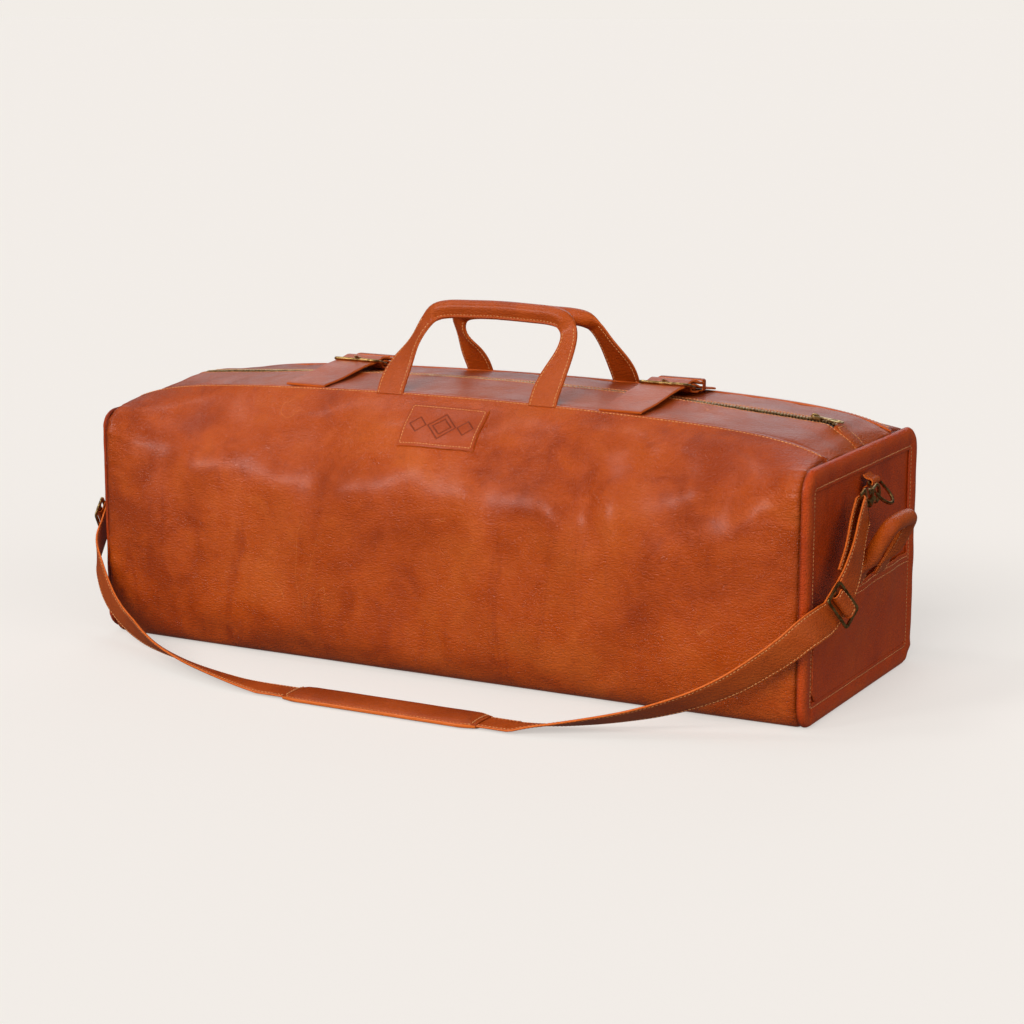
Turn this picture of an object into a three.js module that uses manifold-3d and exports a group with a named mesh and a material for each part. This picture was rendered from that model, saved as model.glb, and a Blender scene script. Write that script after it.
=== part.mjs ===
// A large leather weekender bag: a soft box of leather panels with a long zip along its top, two
// carry handles, two buckled top straps, an end handle and a D-ring at each end, and a shoulder
// strap that is clipped to the D-rings and lies on the floor in front of the bag.
// Millimetres, +Z up, +X to the right end, -Y to the front, origin on the floor under the middle.
import * as THREE from "three";
import { mergeVertices } from "three/addons/utils/BufferGeometryUtils.js";
import Module from "manifold-3d";

const wasm = await Module();
wasm.setup();

// ---------- driving dimensions ----------
const GAP = 0.4; // clearance between neighbouring pieces
const LEATHER = 3; // thickness of the body panels
const HALF_LENGTH = 430; // to the outer face of an end panel
const PANEL_END = 424; // where the long panels stop, behind the end border
const END_DEPTH = 164; // half the depth at the ends
const MID_DEPTH = 176; // half the depth where the sides bulge
const BASE_HALF = 140; // half the depth of the base panel
const SEAM_Y = 97; // the top seams, either side of the zip
const SEAM_Z = 300; // height of the top seams in the middle
const WAIST_Z = 150; // height at which the sides are deepest

const ZIP_Z = 305; // height of the zip in the middle
const ZIP_RADIUS = 4813; // the zip line is an arc of this radius
const STRIP_EDGE = 94.4; // from the zip's centre to the outer edge of a top panel
const ZIP_PANEL_EDGE = 12; // from the zip's centre to a top panel's edge
const FLAP_END = 360; // the top panels open between these ends
const ZIP_END = 402; // the teeth stop here
const SLIDER_X = 376; // where the closed slider stands
const SLIDER_LENGTH = 14;
const LINING_TOP = 258; // the lining stops below the folded end of the mouth

const BORDER = 25; // width of the rolled border round an end panel
const BORDER_PROUD = 2.5; // how far the border stands out
const OVERLAY_TOP = 123; // top edge of the lower end overlay

const STRAP_X = 195; // centre of each buckled top strap
const STRAP_WIDTH = 50;
const STRAP_LEATHER = 2.6;
const BUCKLE_WIRE = 3.5;
const BUCKLE_REAR = [34, 307.8]; // y, z of the bar that the buckle hangs on
const BUCKLE_FRONT = [10.5, 314.7]; // y, z of the bar that the prong rests on
const BUCKLE_INNER = 54; // inside width of the buckle

const HANDLE_LEG_X = 94; // legs of a carry handle
const HANDLES = {
  front: { shift: 11, height: 98, lean: 28 }, // along the bag, upwards, and degrees inward
  back: { shift: 15, height: 84, lean: 31 },
};
const HANDLE_BASE_Z = 302.6;

const END_HANDLE_LEG_Y = 34;
const END_HANDLE_HEIGHT = 67;
const END_HANDLE_TILT = 28; // degrees outward from upright
const END_HANDLE_BASE = [436.8, 126]; // x, z of its stitched feet

const RING_BAR = [440, 231]; // x, z of a D-ring's straight bar
const RING_HALF = 15; // from the ring's middle to the centre of a side
const RING_REACH = 13.5; // along the side of the ring to the hook
const RING_WIRE = 3.4;
const HOOK_SLOPE = 18; // degrees below level
const HOOK_BOW = 8.8; // radius of the hook's bow

const CARRY_WIDTH = 35; // shoulder strap
const CARRY_LEATHER = 2.6;
const ADJUSTER_LIFT = 6.8; // from the strap to the middle of the adjuster's frame
const PAD_FROM = -94;
const PAD_TO = 138;
const PAD_Y = -288;
const PAD_Z = 3.8; // height of the strap inside the pad

// ---------- materials ----------
const LEATHER_TAN = { color: 0xb4531d, roughness: 0.42, metalness: 0 };
const LEATHER_DARK = { color: 0x8e3c14, roughness: 0.5, metalness: 0 };
const LEATHER_EDGE = { color: 0xd0662a, roughness: 0.55, metalness: 0 };
const BRASS = { color: 0x8f7340, roughness: 0.35, metalness: 1 };
const BRASS_BRIGHT = { color: 0xb59452, roughness: 0.3, metalness: 1 };
const COTTON = { color: 0x5c4a38, roughness: 0.9, metalness: 0 };
const TAPE = { color: 0x4a2a18, roughness: 0.85, metalness: 0 };
const BOARD = { color: 0x3b332c, roughness: 0.8, metalness: 0 };

const bag = new THREE.Group();
const vector = (x, y, z) => new THREE.Vector3(x, y, z);

function add(name, geometry, look, parent = bag) {
  const mesh = new THREE.Mesh(geometry, new THREE.MeshStandardMaterial(look));
  mesh.name = name;
  parent.add(mesh);
  return mesh;
}

// ---------- closed solids from grids of points ----------
function geometryOf(points, triangles) {
  let volume = 0;
  for (const [a, b, c] of triangles)
    volume += points[a].dot(points[b].clone().cross(points[c]));
  const turned = volume < 0 ? triangles.map(([a, b, c]) => [a, c, b]) : triangles;
  const geometry = new THREE.BufferGeometry().setFromPoints(points);
  return geometry.setIndex(turned.flat());
}

function quad(triangles, a, b, c, d) {
  triangles.push([a, b, c], [a, c, d]);
}

// A solid between rings of points, closed by a fan at each end.
function loft(rings) {
  const size = rings[0].length;
  const triangles = [];
  for (let i = 0; i + 1 < rings.length; i++)
    for (let j = 0; j < size; j++) {
      const next = (j + 1) % size;
      quad(triangles, i * size + j, i * size + next, (i + 1) * size + next, (i + 1) * size + j);
    }
  const last = (rings.length - 1) * size;
  for (let j = 1; j + 1 < size; j++) {
    triangles.push([0, j + 1, j]);
    triangles.push([last, last + j, last + j + 1]);
  }
  return geometryOf(rings.flat(), triangles);
}

// A hollow sleeve between outer and inner rings, open at both ends.
function sleeve(outer, inner) {
  const size = outer[0].length;
  const shift = outer.length * size;
  const triangles = [];
  const last = outer.length - 1;
  for (let j = 0; j < size; j++) {
    const next = (j + 1) % size;
    for (let i = 0; i < last; i++) {
      const [a, b] = [i * size + j, i * size + next];
      const [c, d] = [(i + 1) * size + next, (i + 1) * size + j];
      quad(triangles, a, b, c, d);
      quad(triangles, shift + d, shift + c, shift + b, shift + a);
    }
    quad(triangles, next, j, shift + j, shift + next);
    const end = last * size;
    quad(triangles, end + j, end + next, shift + end + next, shift + end + j);
  }
  return geometryOf([...outer.flat(), ...inner.flat()], triangles);
}

// A leather sheet: the grid is its outer face, and it is as thick as given along the normals.
function sheet(grid, thickness) {
  const rows = grid.length;
  const columns = grid[0].length;
  const back = grid.map((row, i) =>
    row.map((point, j) => {
      const along = grid[Math.min(i + 1, rows - 1)][j].clone();
      along.sub(grid[Math.max(i - 1, 0)][j]);
      const across = row[Math.min(j + 1, columns - 1)].clone().sub(row[Math.max(j - 1, 0)]);
      return point.clone().addScaledVector(along.cross(across).normalize(), thickness);
    }),
  );
  const shift = rows * columns;
  const at = (i, j) => i * columns + j;
  const triangles = [];
  for (let i = 0; i + 1 < rows; i++)
    for (let j = 0; j + 1 < columns; j++) {
      const [a, b, c, d] = [at(i, j), at(i, j + 1), at(i + 1, j + 1), at(i + 1, j)];
      quad(triangles, a, b, c, d);
      quad(triangles, shift + d, shift + c, shift + b, shift + a);
    }
  const rim = [];
  for (let j = 0; j < columns; j++) rim.push(at(0, j));
  for (let i = 1; i < rows; i++) rim.push(at(i, columns - 1));
  for (let j = columns - 2; j >= 0; j--) rim.push(at(rows - 1, j));
  for (let i = rows - 2; i > 0; i--) rim.push(at(i, 0));
  rim.forEach((a, k) => {
    const b = rim[(k + 1) % rim.length];
    quad(triangles, b, a, shift + a, shift + b);
  });
  return geometryOf([...grid.flat(), ...back.flat()], triangles);
}

const gridOf = (us, vs, point) => us.map((u) => vs.map((v) => point(u, v)));
const steps = (from, to, count) =>
  Array.from({ length: count + 1 }, (_, i) => from + ((to - from) * i) / count);

// A flat band through stations { centre, across, width, thickness }.
function band(stations) {
  const rings = stations.map(({ centre, across, width, thickness }, i) => {
    const tangent = stations[Math.min(i + 1, stations.length - 1)].centre.clone();
    tangent.sub(stations[Math.max(i - 1, 0)].centre).normalize();
    const w = across.clone().addScaledVector(tangent, -across.dot(tangent)).normalize();
    const n = tangent.clone().cross(w).normalize();
    const corner = (a, b) =>
      centre.clone().addScaledVector(w, (a * width) / 2).addScaledVector(n, (b * thickness) / 2);
    return [corner(-1, -1), corner(1, -1), corner(1, 1), corner(-1, 1)];
  });
  return loft(rings);
}

// Points of a rounded ring: power 2 is an ellipse, higher powers are squarer.
function ring(centre, a, b, halfA, halfB, power, count = 12) {
  return Array.from({ length: count }, (_, i) => {
    const angle = (2 * Math.PI * (i + 0.5)) / count;
    const [c, s] = [Math.cos(angle), Math.sin(angle)];
    const reach = (Math.abs(c) ** power + Math.abs(s) ** power) ** (-1 / power);
    return centre
      .clone()
      .addScaledVector(a, halfA * reach * c)
      .addScaledVector(b, halfB * reach * s);
  });
}

// ---------- joining and cutting ----------
function solidOf(geometry) {
  const bare = geometry.clone();
  bare.deleteAttribute("normal");
  bare.deleteAttribute("uv");
  const merged = mergeVertices(bare, 1e-4);
  return new wasm.Manifold(
    new wasm.Mesh({
      numProp: 3,
      vertProperties: new Float32Array(merged.attributes.position.array),
      triVerts: new Uint32Array(merged.index.array),
    }),
  );
}

function fromSolid(solid) {
  const mesh = solid.getMesh();
  const geometry = new THREE.BufferGeometry();
  geometry.setAttribute("position", new THREE.BufferAttribute(mesh.vertProperties, 3));
  return geometry.setIndex(new THREE.BufferAttribute(mesh.triVerts, 1));
}

const joined = (...parts) => fromSolid(parts.map(solidOf).reduce((a, b) => a.add(b)));
const cut = (part, ...tools) =>
  fromSolid(tools.map(solidOf).reduce((a, b) => a.subtract(b), solidOf(part)));

function box(x0, x1, y0, y1, z0, z1) {
  const geometry = new THREE.BoxGeometry(x1 - x0, y1 - y0, z1 - z0);
  return geometry.translate((x0 + x1) / 2, (y0 + y1) / 2, (z0 + z1) / 2);
}

// A round bar along Y.
function barAlongY(radius, y0, y1, x = 0, z = 0, sides = 12) {
  const geometry = new THREE.CylinderGeometry(radius, radius, y1 - y0, sides);
  return geometry.translate(x, (y0 + y1) / 2, z);
}

function roundedRectangle(target, halfA, halfB, radius) {
  target.moveTo(halfA, -halfB + radius);
  target.absarc(halfA - radius, halfB - radius, radius, 0, Math.PI / 2);
  target.absarc(-halfA + radius, halfB - radius, radius, Math.PI / 2, Math.PI);
  target.absarc(-halfA + radius, -halfB + radius, radius, Math.PI, 1.5 * Math.PI);
  target.absarc(halfA - radius, -halfB + radius, radius, 1.5 * Math.PI, 2 * Math.PI);
  return target;
}

// ---------- the body's outer surface ----------
const pinch = (x) => 1 - Math.abs(x / HALF_LENGTH) ** 5; // 1 in the middle, 0 at the ends
const blend = (a, b, t) => a + (b - a) * t;
const seamZ = (x) => {
  const t = Math.abs(x / HALF_LENGTH);
  return SEAM_Z - 16 * t ** 2 - 18 * t ** 10;
};
const zipArc = (x) => ZIP_Z - ZIP_RADIUS + Math.sqrt(ZIP_RADIUS ** 2 - x ** 2);
const ZIP_DROP_START = 392;
const zipZ = (x) => {
  const beyond = Math.max(0, Math.abs(x) - ZIP_DROP_START) / (PANEL_END - ZIP_DROP_START);
  return zipArc(x) - 24 * beyond ** 1.4;
};

// One side of the body at station x: t runs from the top seam (0) down to the base seam (1).
// side is -1 at the front and 1 at the back; inset moves the surface inwards.
function sideProfile(x, side) {
  const w = pinch(x);
  const depth = blend(END_DEPTH, MID_DEPTH, w);
  const top = seamZ(x);
  const point = (y, z) => new THREE.Vector2(side * y, z);
  const waist = point(depth, WAIST_Z);
  const shoulder = new THREE.CubicBezierCurve(
    point(SEAM_Y + 0.5, top),
    point(blend(158, 138, w), top - blend(0, 30, w)),
    point(depth, blend(252, 214, w)),
    waist,
  );
  const skirt = new THREE.CubicBezierCurve(
    waist,
    point(depth + 2, 55),
    point(depth + 2, 0),
    point(BASE_HALF + 0.3, 0),
  );
  return { shoulder, skirt };
}

const SHOULDER_STEPS = steps(0, 1, 7);
const SKIRT_STEPS = steps(0, 1, 6).slice(1);
const HALF_STEPS = [60, 170, 270, 340, 380, 405, PANEL_END];
const LENGTH_STEPS = [...HALF_STEPS.map((x) => -x).reverse(), ...HALF_STEPS];

function sideGrid(side, lengths = LENGTH_STEPS) {
  return lengths.map((x) => {
    const { shoulder, skirt } = sideProfile(x, side);
    return [
      ...SHOULDER_STEPS.map((t) => shoulder.getPoint(t)),
      ...SKIRT_STEPS.map((t) => skirt.getPoint(t)),
    ].map((p) => vector(x, p.x, p.y));
  });
}

// ---------- body panels, base, board and lining ----------
function buildBody() {
  add("front_panel", sheet(sideGrid(-1), LEATHER), LEATHER_TAN);
  add("back_panel", sheet(sideGrid(1), -LEATHER), LEATHER_TAN);
  const half = BASE_HALF - 1.2;
  add("base_panel", box(-PANEL_END, PANEL_END, -half, half, 0, LEATHER), LEATHER_DARK);
  const boardZ = LEATHER + GAP;
  add("base_board", box(-408, 408, -132, 132, boardZ, boardZ + 3), BOARD);
}

// The lining is a cloth bag inside the panels, open along the mouth.
function buildLining() {
  const floor = 8;
  const outline = (x, inset) => {
    const run = (side) => {
      const { shoulder, skirt } = sideProfile(x, side);
      const points = [0.12, 0.3, 0.5, 0.75, 1].map((t) => shoulder.getPoint(t));
      points.push(...[0.3, 0.5].map((t) => skirt.getPoint(t)));
      points.push(new THREE.Vector2(side * BASE_HALF, floor + inset - 2));
      return points.map((p) => vector(x, p.x - side * inset, Math.min(p.y - 4, LINING_TOP)));
    };
    return [...run(-1), vector(x, 0, floor + inset - 6), ...run(1).reverse()];
  };
  const cloth = sheet([-417, -395, -340, -200, 0, 200, 340, 395, 417].map((x) => outline(x, 6)), 1);
  const wall = (x) => loft([x, x + 1.2].map((at) => outline(at, 6.5)));
  add("lining", joined(cloth, wall(-416), wall(414.8)), COTTON);
}

// ---------- ends ----------
function endOutline(target, inset) {
  const half = END_DEPTH - inset;
  const [low, high] = [inset, seamZ(HALF_LENGTH) - inset];
  const shape = roundedRectangle(target, half, (high - low) / 2, Math.max(26 - inset * 0.6, 8));
  return { shape, lift: (high + low) / 2 };
}

// A plate in the YZ plane from a shape drawn in (y, z), between two x values.
function plateX(shape, x0, x1, liftZ = 0) {
  const geometry = new THREE.ExtrudeGeometry(shape, {
    depth: x1 - x0,
    bevelEnabled: false,
    curveSegments: 5,
  });
  geometry.rotateX(Math.PI / 2);
  geometry.rotateZ(Math.PI / 2);
  return geometry.translate(x0, 0, liftZ);
}

function buildEnd(group, side) {
  const borderTo = HALF_LENGTH + BORDER_PROUD;
  const { shape, lift } = endOutline(new THREE.Shape(), 0);
  shape.holes.push(endOutline(new THREE.Path(), BORDER).shape);
  add("end_border_" + side, plateX(shape, PANEL_END + GAP, borderTo, lift), LEATHER_TAN, group);
  const inner = endOutline(new THREE.Shape(), BORDER + GAP);
  const panel = plateX(inner.shape, HALF_LENGTH - LEATHER, HALF_LENGTH, inner.lift);
  add("end_panel_" + side, panel, LEATHER_DARK, group);
  const overlay = new THREE.Shape();
  const [low, half] = [BORDER + GAP, END_DEPTH - BORDER - 1];
  overlay.moveTo(-half, OVERLAY_TOP);
  overlay.lineTo(-half, low + 12);
  overlay.absarc(-half + 12, low + 12, 12, Math.PI, 1.5 * Math.PI);
  overlay.absarc(half - 12, low + 12, 12, 1.5 * Math.PI, 2 * Math.PI);
  overlay.lineTo(half, OVERLAY_TOP);
  const from = HALF_LENGTH + GAP;
  add("end_overlay_" + side, plateX(overlay, from, from + 2.6), LEATHER_DARK, group);
}

// ---------- top panels and zip ----------
const FLAP_STEPS = steps(-FLAP_END, FLAP_END, 12);
const END_STEPS = [FLAP_END + 0.6, 376, 392, 404, 414, PANEL_END - 0.6];

function topSurface(x, y) {
  const across = Math.min(1, Math.max(0, (Math.abs(y) - ZIP_PANEL_EDGE) / (SEAM_Y - ZIP_PANEL_EDGE)));
  return blend(zipZ(x), seamZ(x), across ** 1.5);
}

function topStrip(side, lengths) {
  const across = steps(ZIP_PANEL_EDGE, STRIP_EDGE, 4);
  const grid = gridOf(lengths, across, (x, y) => vector(x, side * y, topSurface(x, y)));
  return sheet(grid, side < 0 ? LEATHER : -LEATHER);
}

// A thin bar along the zip between two y values and two depths under the zip line.
function zipBar(lengths, y0, y1, deep, shallow) {
  const section = (x) =>
    [[y0, deep], [y1, deep], [y1, shallow], [y0, shallow]].map(([y, d]) =>
      vector(x, y, zipZ(x) - d),
    );
  return loft(lengths.map(section));
}

const TEETH = { inner: 1.0, outer: 4.5, deep: 3.0, shallow: 0.6 };
const TAPE_BAND = { inner: 4.8, outer: ZIP_PANEL_EDGE - 0.3, deep: 2.3, shallow: 1.4 };

function buildTop() {
  for (const [side, name] of [[-1, "front"], [1, "back"]]) {
    add("top_panel_" + name, topStrip(side, FLAP_STEPS), LEATHER_TAN);
    const strip = ({ inner, outer, deep, shallow }) =>
      zipBar(FLAP_STEPS, side * inner, side * outer, deep, shallow);
    add("zip_teeth_" + name, strip(TEETH), BRASS_BRIGHT);
    add("zip_tape_" + name, strip(TAPE_BAND), TAPE);
  }
}

// The fixed end of the top, where the slider parks: the strips that meet beyond the zip, the
// zip's end and its leather tab.
function buildTopEnd(group, end) {
  const half = [ZIP_PANEL_EDGE, 50, STRIP_EDGE];
  const across = [...half.map((y) => -y).reverse(), 0, ...half];
  const whole = sheet(gridOf(END_STEPS, across, (x, y) => vector(x, y, topSurface(x, y))), -LEATHER);
  const gap = box(FLAP_END - 5, ZIP_END + GAP, -ZIP_PANEL_EDGE, ZIP_PANEL_EDGE, 240, 320);
  add("top_end_" + end, cut(whole, gap), LEATHER_TAN, group);
  const lengths = [FLAP_END + 0.6, 376, 392, ZIP_END];
  const { outer, deep, shallow } = TAPE_BAND;
  const { outer: teethOuter, deep: teethDeep, shallow: teethShallow } = TEETH;
  const bars = joined(
    zipBar(lengths, -outer, outer, deep, shallow),
    zipBar(lengths, -teethOuter, teethOuter, teethDeep, teethShallow),
  );
  const slotEnd = SLIDER_X + SLIDER_LENGTH / 2 + 1;
  const slot = box(FLAP_END - 5, slotEnd, -TEETH.inner, TEETH.inner, 270, 320);
  add("zip_end_" + end, cut(bars, slot), BRASS_BRIGHT, group);
  const tabSteps = [403, 410, 417, PANEL_END - 0.8];
  const tab = gridOf(tabSteps, [-9, 0, 9], (x, y) => vector(x, y, zipZ(x) + 2.2));
  add("zip_tab_" + end, sheet(tab, LEATHER - 0.4), LEATHER_TAN, group);
}

// The slider rides the zip's arc: two plates either side of the teeth, joined by a thin web.
function buildSlider() {
  const carriage = new THREE.Group();
  carriage.position.z = ZIP_Z - ZIP_RADIUS;
  carriage.rotation.y = Math.asin(SLIDER_X / ZIP_RADIUS);
  const seat = new THREE.Group();
  seat.position.z = ZIP_RADIUS;
  carriage.add(seat);
  bag.add(carriage);
  const half = SLIDER_LENGTH / 2;
  const slider = joined(
    box(-half, half, -5.8, 5.8, -0.2, 1.6),
    box(-half, half, -5.8, 5.8, -5.4, -3.4),
    box(-half, -1, -0.5, 0.5, -4, 0.5),
    box(-4.5, 1.5, -1.4, 1.4, 1.2, 5.2),
  );
  const pinHole = barAlongY(1.3, -3, 3, -1.2, 3.4);
  add("zip_slider", cut(slider, pinHole), BRASS, seat);
  const fork = joined(
    barAlongY(0.9, -3.4, 3.4, 0, 0),
    box(-0.9, 8, -3.4, -2.0, -0.9, 0.9),
    box(-0.9, 8, 2.0, 3.4, -0.9, 0.9),
    box(6.5, 30, -3.4, 3.4, -0.9, 0.9),
  );
  const pull = add("zip_pull", cut(fork, box(22, 27, -1.6, 1.6, -2, 2)), BRASS_BRIGHT, seat);
  pull.position.set(-1.2, 0, 3.4);
}

// ---------- buckled top straps ----------
// A band across X at station x through (y, z) points.
function bandAlongY(x, points, width, thickness, count) {
  const curve = new THREE.CatmullRomCurve3(points.map(([y, z]) => vector(x, y, z)));
  const stations = curve.getPoints(count).map((centre) => ({
    centre,
    across: vector(1, 0, 0),
    width,
    thickness,
  }));
  return band(stations);
}

function buildTopStrap(x, end) {
  const route = [[-98, 299.6], [-60, 304], [-20, 309.3], [2, 310.9], [13, 311], [24, 313.6]]
    .concat([[34, 315.4], [44, 313.4], [60, 309.9], [79, 306.7]]);
  const long = bandAlongY(x, route, STRAP_WIDTH, STRAP_LEATHER, 26);
  const slot = box(x - 2.6, x + 2.6, 13.5, 33.5, 300, 325);
  add("top_strap_front_" + end, cut(long, slot), LEATHER_TAN);

  // The back strap is folded round the buckle's rear bar, with a notch for the prong.
  const [barY, barZ] = BUCKLE_REAR;
  const fold = steps(90, 270, 6).map((degrees) => {
    const a = THREE.MathUtils.degToRad(degrees);
    return [barY + 3.7 * Math.cos(a), barZ + 3.7 * Math.sin(a)];
  });
  const back = [[98, 299.6], [80, 302.2], [60, 305.4], [44, 309.4]]
    .concat(fold, [[42, 302.9], [50, 301.8]]);
  const short = bandAlongY(x, back, STRAP_WIDTH, 2.4, 34);
  const notch = box(x - 4.2, x + 4.2, 20, 41, 295, 325);
  add("top_strap_back_" + end, cut(short, notch), LEATHER_TAN);

  const outer = box(x - 27.3, x + 27.3, 56, 64, 301.4, 314.2);
  const inner = box(x - 25.6, x + 25.6, 50, 70, 303, 312.6);
  add("strap_keeper_" + end, cut(outer, inner), LEATHER_EDGE);
  buildBuckle(x, end);
}

function buildBuckle(x, end) {
  const [rearY, rearZ] = BUCKLE_REAR;
  const reach = Math.hypot(BUCKLE_FRONT[0] - rearY, BUCKLE_FRONT[1] - rearZ);
  const pivot = new THREE.Group();
  pivot.position.set(x, rearY, rearZ);
  pivot.rotation.x = -Math.atan2(BUCKLE_FRONT[1] - rearZ, rearY - BUCKLE_FRONT[0]);
  bag.add(pivot);
  const w = BUCKLE_WIRE / 2;
  const shape = roundedRectangle(new THREE.Shape(), BUCKLE_INNER / 2 + BUCKLE_WIRE, reach / 2 + w, 4);
  shape.holes.push(roundedRectangle(new THREE.Path(), BUCKLE_INNER / 2, reach / 2 - w, 1.5));
  const frame = new THREE.ExtrudeGeometry(shape, {
    depth: BUCKLE_WIRE,
    bevelEnabled: false,
    curveSegments: 4,
  });
  frame.translate(0, -reach / 2, -w);
  add("buckle_frame_" + end, frame, BRASS, pivot);

  // The prong's eye goes round the rear bar, and its tip lies on the front bar.
  const sides = 12;
  const eye = new THREE.CylinderGeometry(4.2, 4.2, 5, sides).rotateZ(Math.PI / 2);
  const hole = new THREE.CylinderGeometry(2.9, 2.9, 8, sides).rotateZ(Math.PI / 2);
  const shank = box(-1.3, 1.3, -reach - 2.6, -3, 2.1, 4.1);
  add("buckle_prong_" + end, cut(joined(eye, shank), hole), BRASS_BRIGHT, pivot);
}

// ---------- handles ----------
// A handle in its own plane: local X runs along the grip and local Z rises from the feet.
function buildHandle(names, group, legX, height, foot, grip, look) {
  const route = [[-1, 0], [-0.99, 0.3], [-0.95, 0.58], [-0.86, 0.8], [-0.68, 0.94], [-0.4, 0.99], [0, 1]];
  const half = route.map(([a, b]) => [a * legX, b * height]);
  const whole = half.concat(half.slice(0, -1).reverse().map(([a, b]) => [-a, b]));
  const curve = new THREE.CatmullRomCurve3(whole.map(([a, b]) => vector(a, 0, b)), false, "centripetal");
  const points = curve.getPoints(22);
  const widthAt = (z) => blend(foot, grip * 1.1, THREE.MathUtils.smoothstep(z / height, 0.05, 0.75));
  const tangentAt = (i) =>
    points[Math.min(i + 1, points.length - 1)].clone().sub(points[Math.max(i - 1, 0)]).normalize();
  const acrossAt = (i) => tangentAt(i).cross(vector(0, 1, 0));
  const stations = points.map((centre, i) => ({
    centre,
    across: acrossAt(i),
    width: widthAt(centre.z),
    thickness: 3.6,
  }));
  add(names.strap, band(stations), look, group);
  const covered = points.map((p, i) => i).filter((i) => points[i].z > height * 0.86);
  const rings = (a, b, power) =>
    covered.map((i) => ring(points[i], acrossAt(i), vector(0, 1, 0), a, b, power));
  const radius = grip * 0.55 + 3.6;
  add(names.grip, sleeve(rings(radius, radius, 2), rings(grip * 0.55 + 0.9, 2.4, 8)), look, group);
}

function buildCarryHandle(side, name) {
  const group = new THREE.Group();
  const { shift, height, lean } = HANDLES[name];
  group.position.set(shift, side * SEAM_Y, HANDLE_BASE_Z);
  group.rotation.x = side * THREE.MathUtils.degToRad(lean);
  bag.add(group);
  const names = { strap: "handle_" + name + "_strap", grip: "handle_" + name + "_grip" };
  buildHandle(names, group, HANDLE_LEG_X, height, 33, 13, LEATHER_TAN);
}

function buildEndHandle(parent, end) {
  const group = new THREE.Group();
  group.position.set(END_HANDLE_BASE[0], 0, END_HANDLE_BASE[1]);
  group.rotation.y = THREE.MathUtils.degToRad(END_HANDLE_TILT);
  const turned = new THREE.Group();
  turned.rotation.z = Math.PI / 2;
  group.add(turned);
  parent.add(group);
  const names = { strap: "end_handle_" + end + "_strap", grip: "end_handle_" + end + "_grip" };
  buildHandle(names, turned, END_HANDLE_LEG_Y, END_HANDLE_HEIGHT, 26, 9, LEATHER_TAN);
}

// ---------- D-ring, its leather tab and the strap's snap hook ----------
function buildRing(parent, end) {
  const [barX, barZ] = RING_BAR;
  const group = new THREE.Group();
  group.position.set(barX, 0, barZ);
  group.rotation.y = Math.PI / 4;
  parent.add(group);
  // Drawn in (y, reach): the straight bar at 0 and a round end beyond two straight sides.
  const w = RING_WIRE / 2;
  const outline = (target, grow) => {
    const half = RING_HALF + grow;
    target.moveTo(-half, -grow);
    target.lineTo(half, -grow);
    target.lineTo(half, 15);
    target.absarc(0, 15, half, 0, Math.PI);
    return target;
  };
  const shape = outline(new THREE.Shape(), w);
  shape.holes.push(outline(new THREE.Path(), -w));
  const flat = new THREE.ExtrudeGeometry(shape, {
    depth: RING_WIRE,
    bevelEnabled: false,
    curveSegments: 10,
  });
  flat.translate(0, 0, -w);
  flat.rotateZ(-Math.PI / 2);
  add("d_ring_" + end, flat, BRASS, group);

  // The tab is a leather loop round the bar, stitched to the end panel above and below it.
  const round = new THREE.Shape();
  const reach = barX - HALF_LENGTH - GAP;
  round.moveTo(0, -7);
  round.absarc(reach, 0, 4.9, -Math.PI / 2, Math.PI / 2);
  round.lineTo(0, 9.2);
  round.lineTo(0, -7);
  const hole = new THREE.Path();
  hole.absarc(reach, 0, 2.75, 0, 2 * Math.PI);
  round.holes.push(hole);
  const tab = new THREE.ExtrudeGeometry(round, { depth: 22, bevelEnabled: false, curveSegments: 6 });
  tab.rotateX(Math.PI / 2);
  tab.translate(HALF_LENGTH + GAP, 11, barZ);
  add("d_ring_tab_" + end, tab, LEATHER_TAN, parent);
}

// The hook's bow is centred on the front side of the D-ring.
function hookCentre() {
  const drop = RING_REACH * Math.SQRT1_2;
  return vector(RING_BAR[0] + drop, -RING_HALF, RING_BAR[1] - drop);
}

// The hook's own frame: origin at the bow's centre, the stem along -Y, the bolt on the +Z side.
function hookFrame(parent) {
  const frame = new THREE.Group();
  frame.position.copy(hookCentre());
  frame.rotation.x = THREE.MathUtils.degToRad(HOOK_SLOPE);
  parent.add(frame);
  return frame;
}

const EYE_BAR_Y = -41.25; // far bar of the hook's eye, in the hook's frame

function buildHook(parent, end) {
  const frame = hookFrame(parent);
  const arc = [];
  for (const degrees of steps(175, 430, 14)) {
    const a = THREE.MathUtils.degToRad(degrees);
    arc.push(vector(0, HOOK_BOW * Math.cos(a), HOOK_BOW * Math.sin(a)));
  }
  const section = new THREE.Shape().absarc(0, 0, 1.8, 0, 2 * Math.PI);
  const bow = new THREE.ExtrudeGeometry(section, {
    steps: 16,
    curveSegments: 4,
    extrudePath: new THREE.CatmullRomCurve3(arc),
  });
  const lug = cut(box(-2.6, 2.6, -13, -9.6, 3, 11.6), barAlongY(2.1, -15, -5, 0, HOOK_BOW));
  const collar = cut(barAlongY(4.2, -24, -8.2), barAlongY(2.7, -26, -15));
  add("snap_hook_" + end, joined(bow, collar, lug), BRASS, frame);

  const bolt = joined(barAlongY(1.5, -19, 1.4, 0, HOOK_BOW, 10), box(-1.4, 1.4, -18, -15.2, 9, 13.5));
  add("hook_bolt_" + end, bolt, BRASS_BRIGHT, frame);

  const eye = new THREE.Shape();
  roundedRectangle(eye, 7.9, 21.7, 3);
  eye.holes.push(roundedRectangle(new THREE.Path(), 4.4, 18.2, 1));
  const loop = plateX(eye, -1.7, 1.7);
  loop.translate(0, EYE_BAR_Y + 6.15, 0);
  add("hook_eye_" + end, joined(loop, barAlongY(2, -28.5, -17)), BRASS, frame);
}

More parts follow.
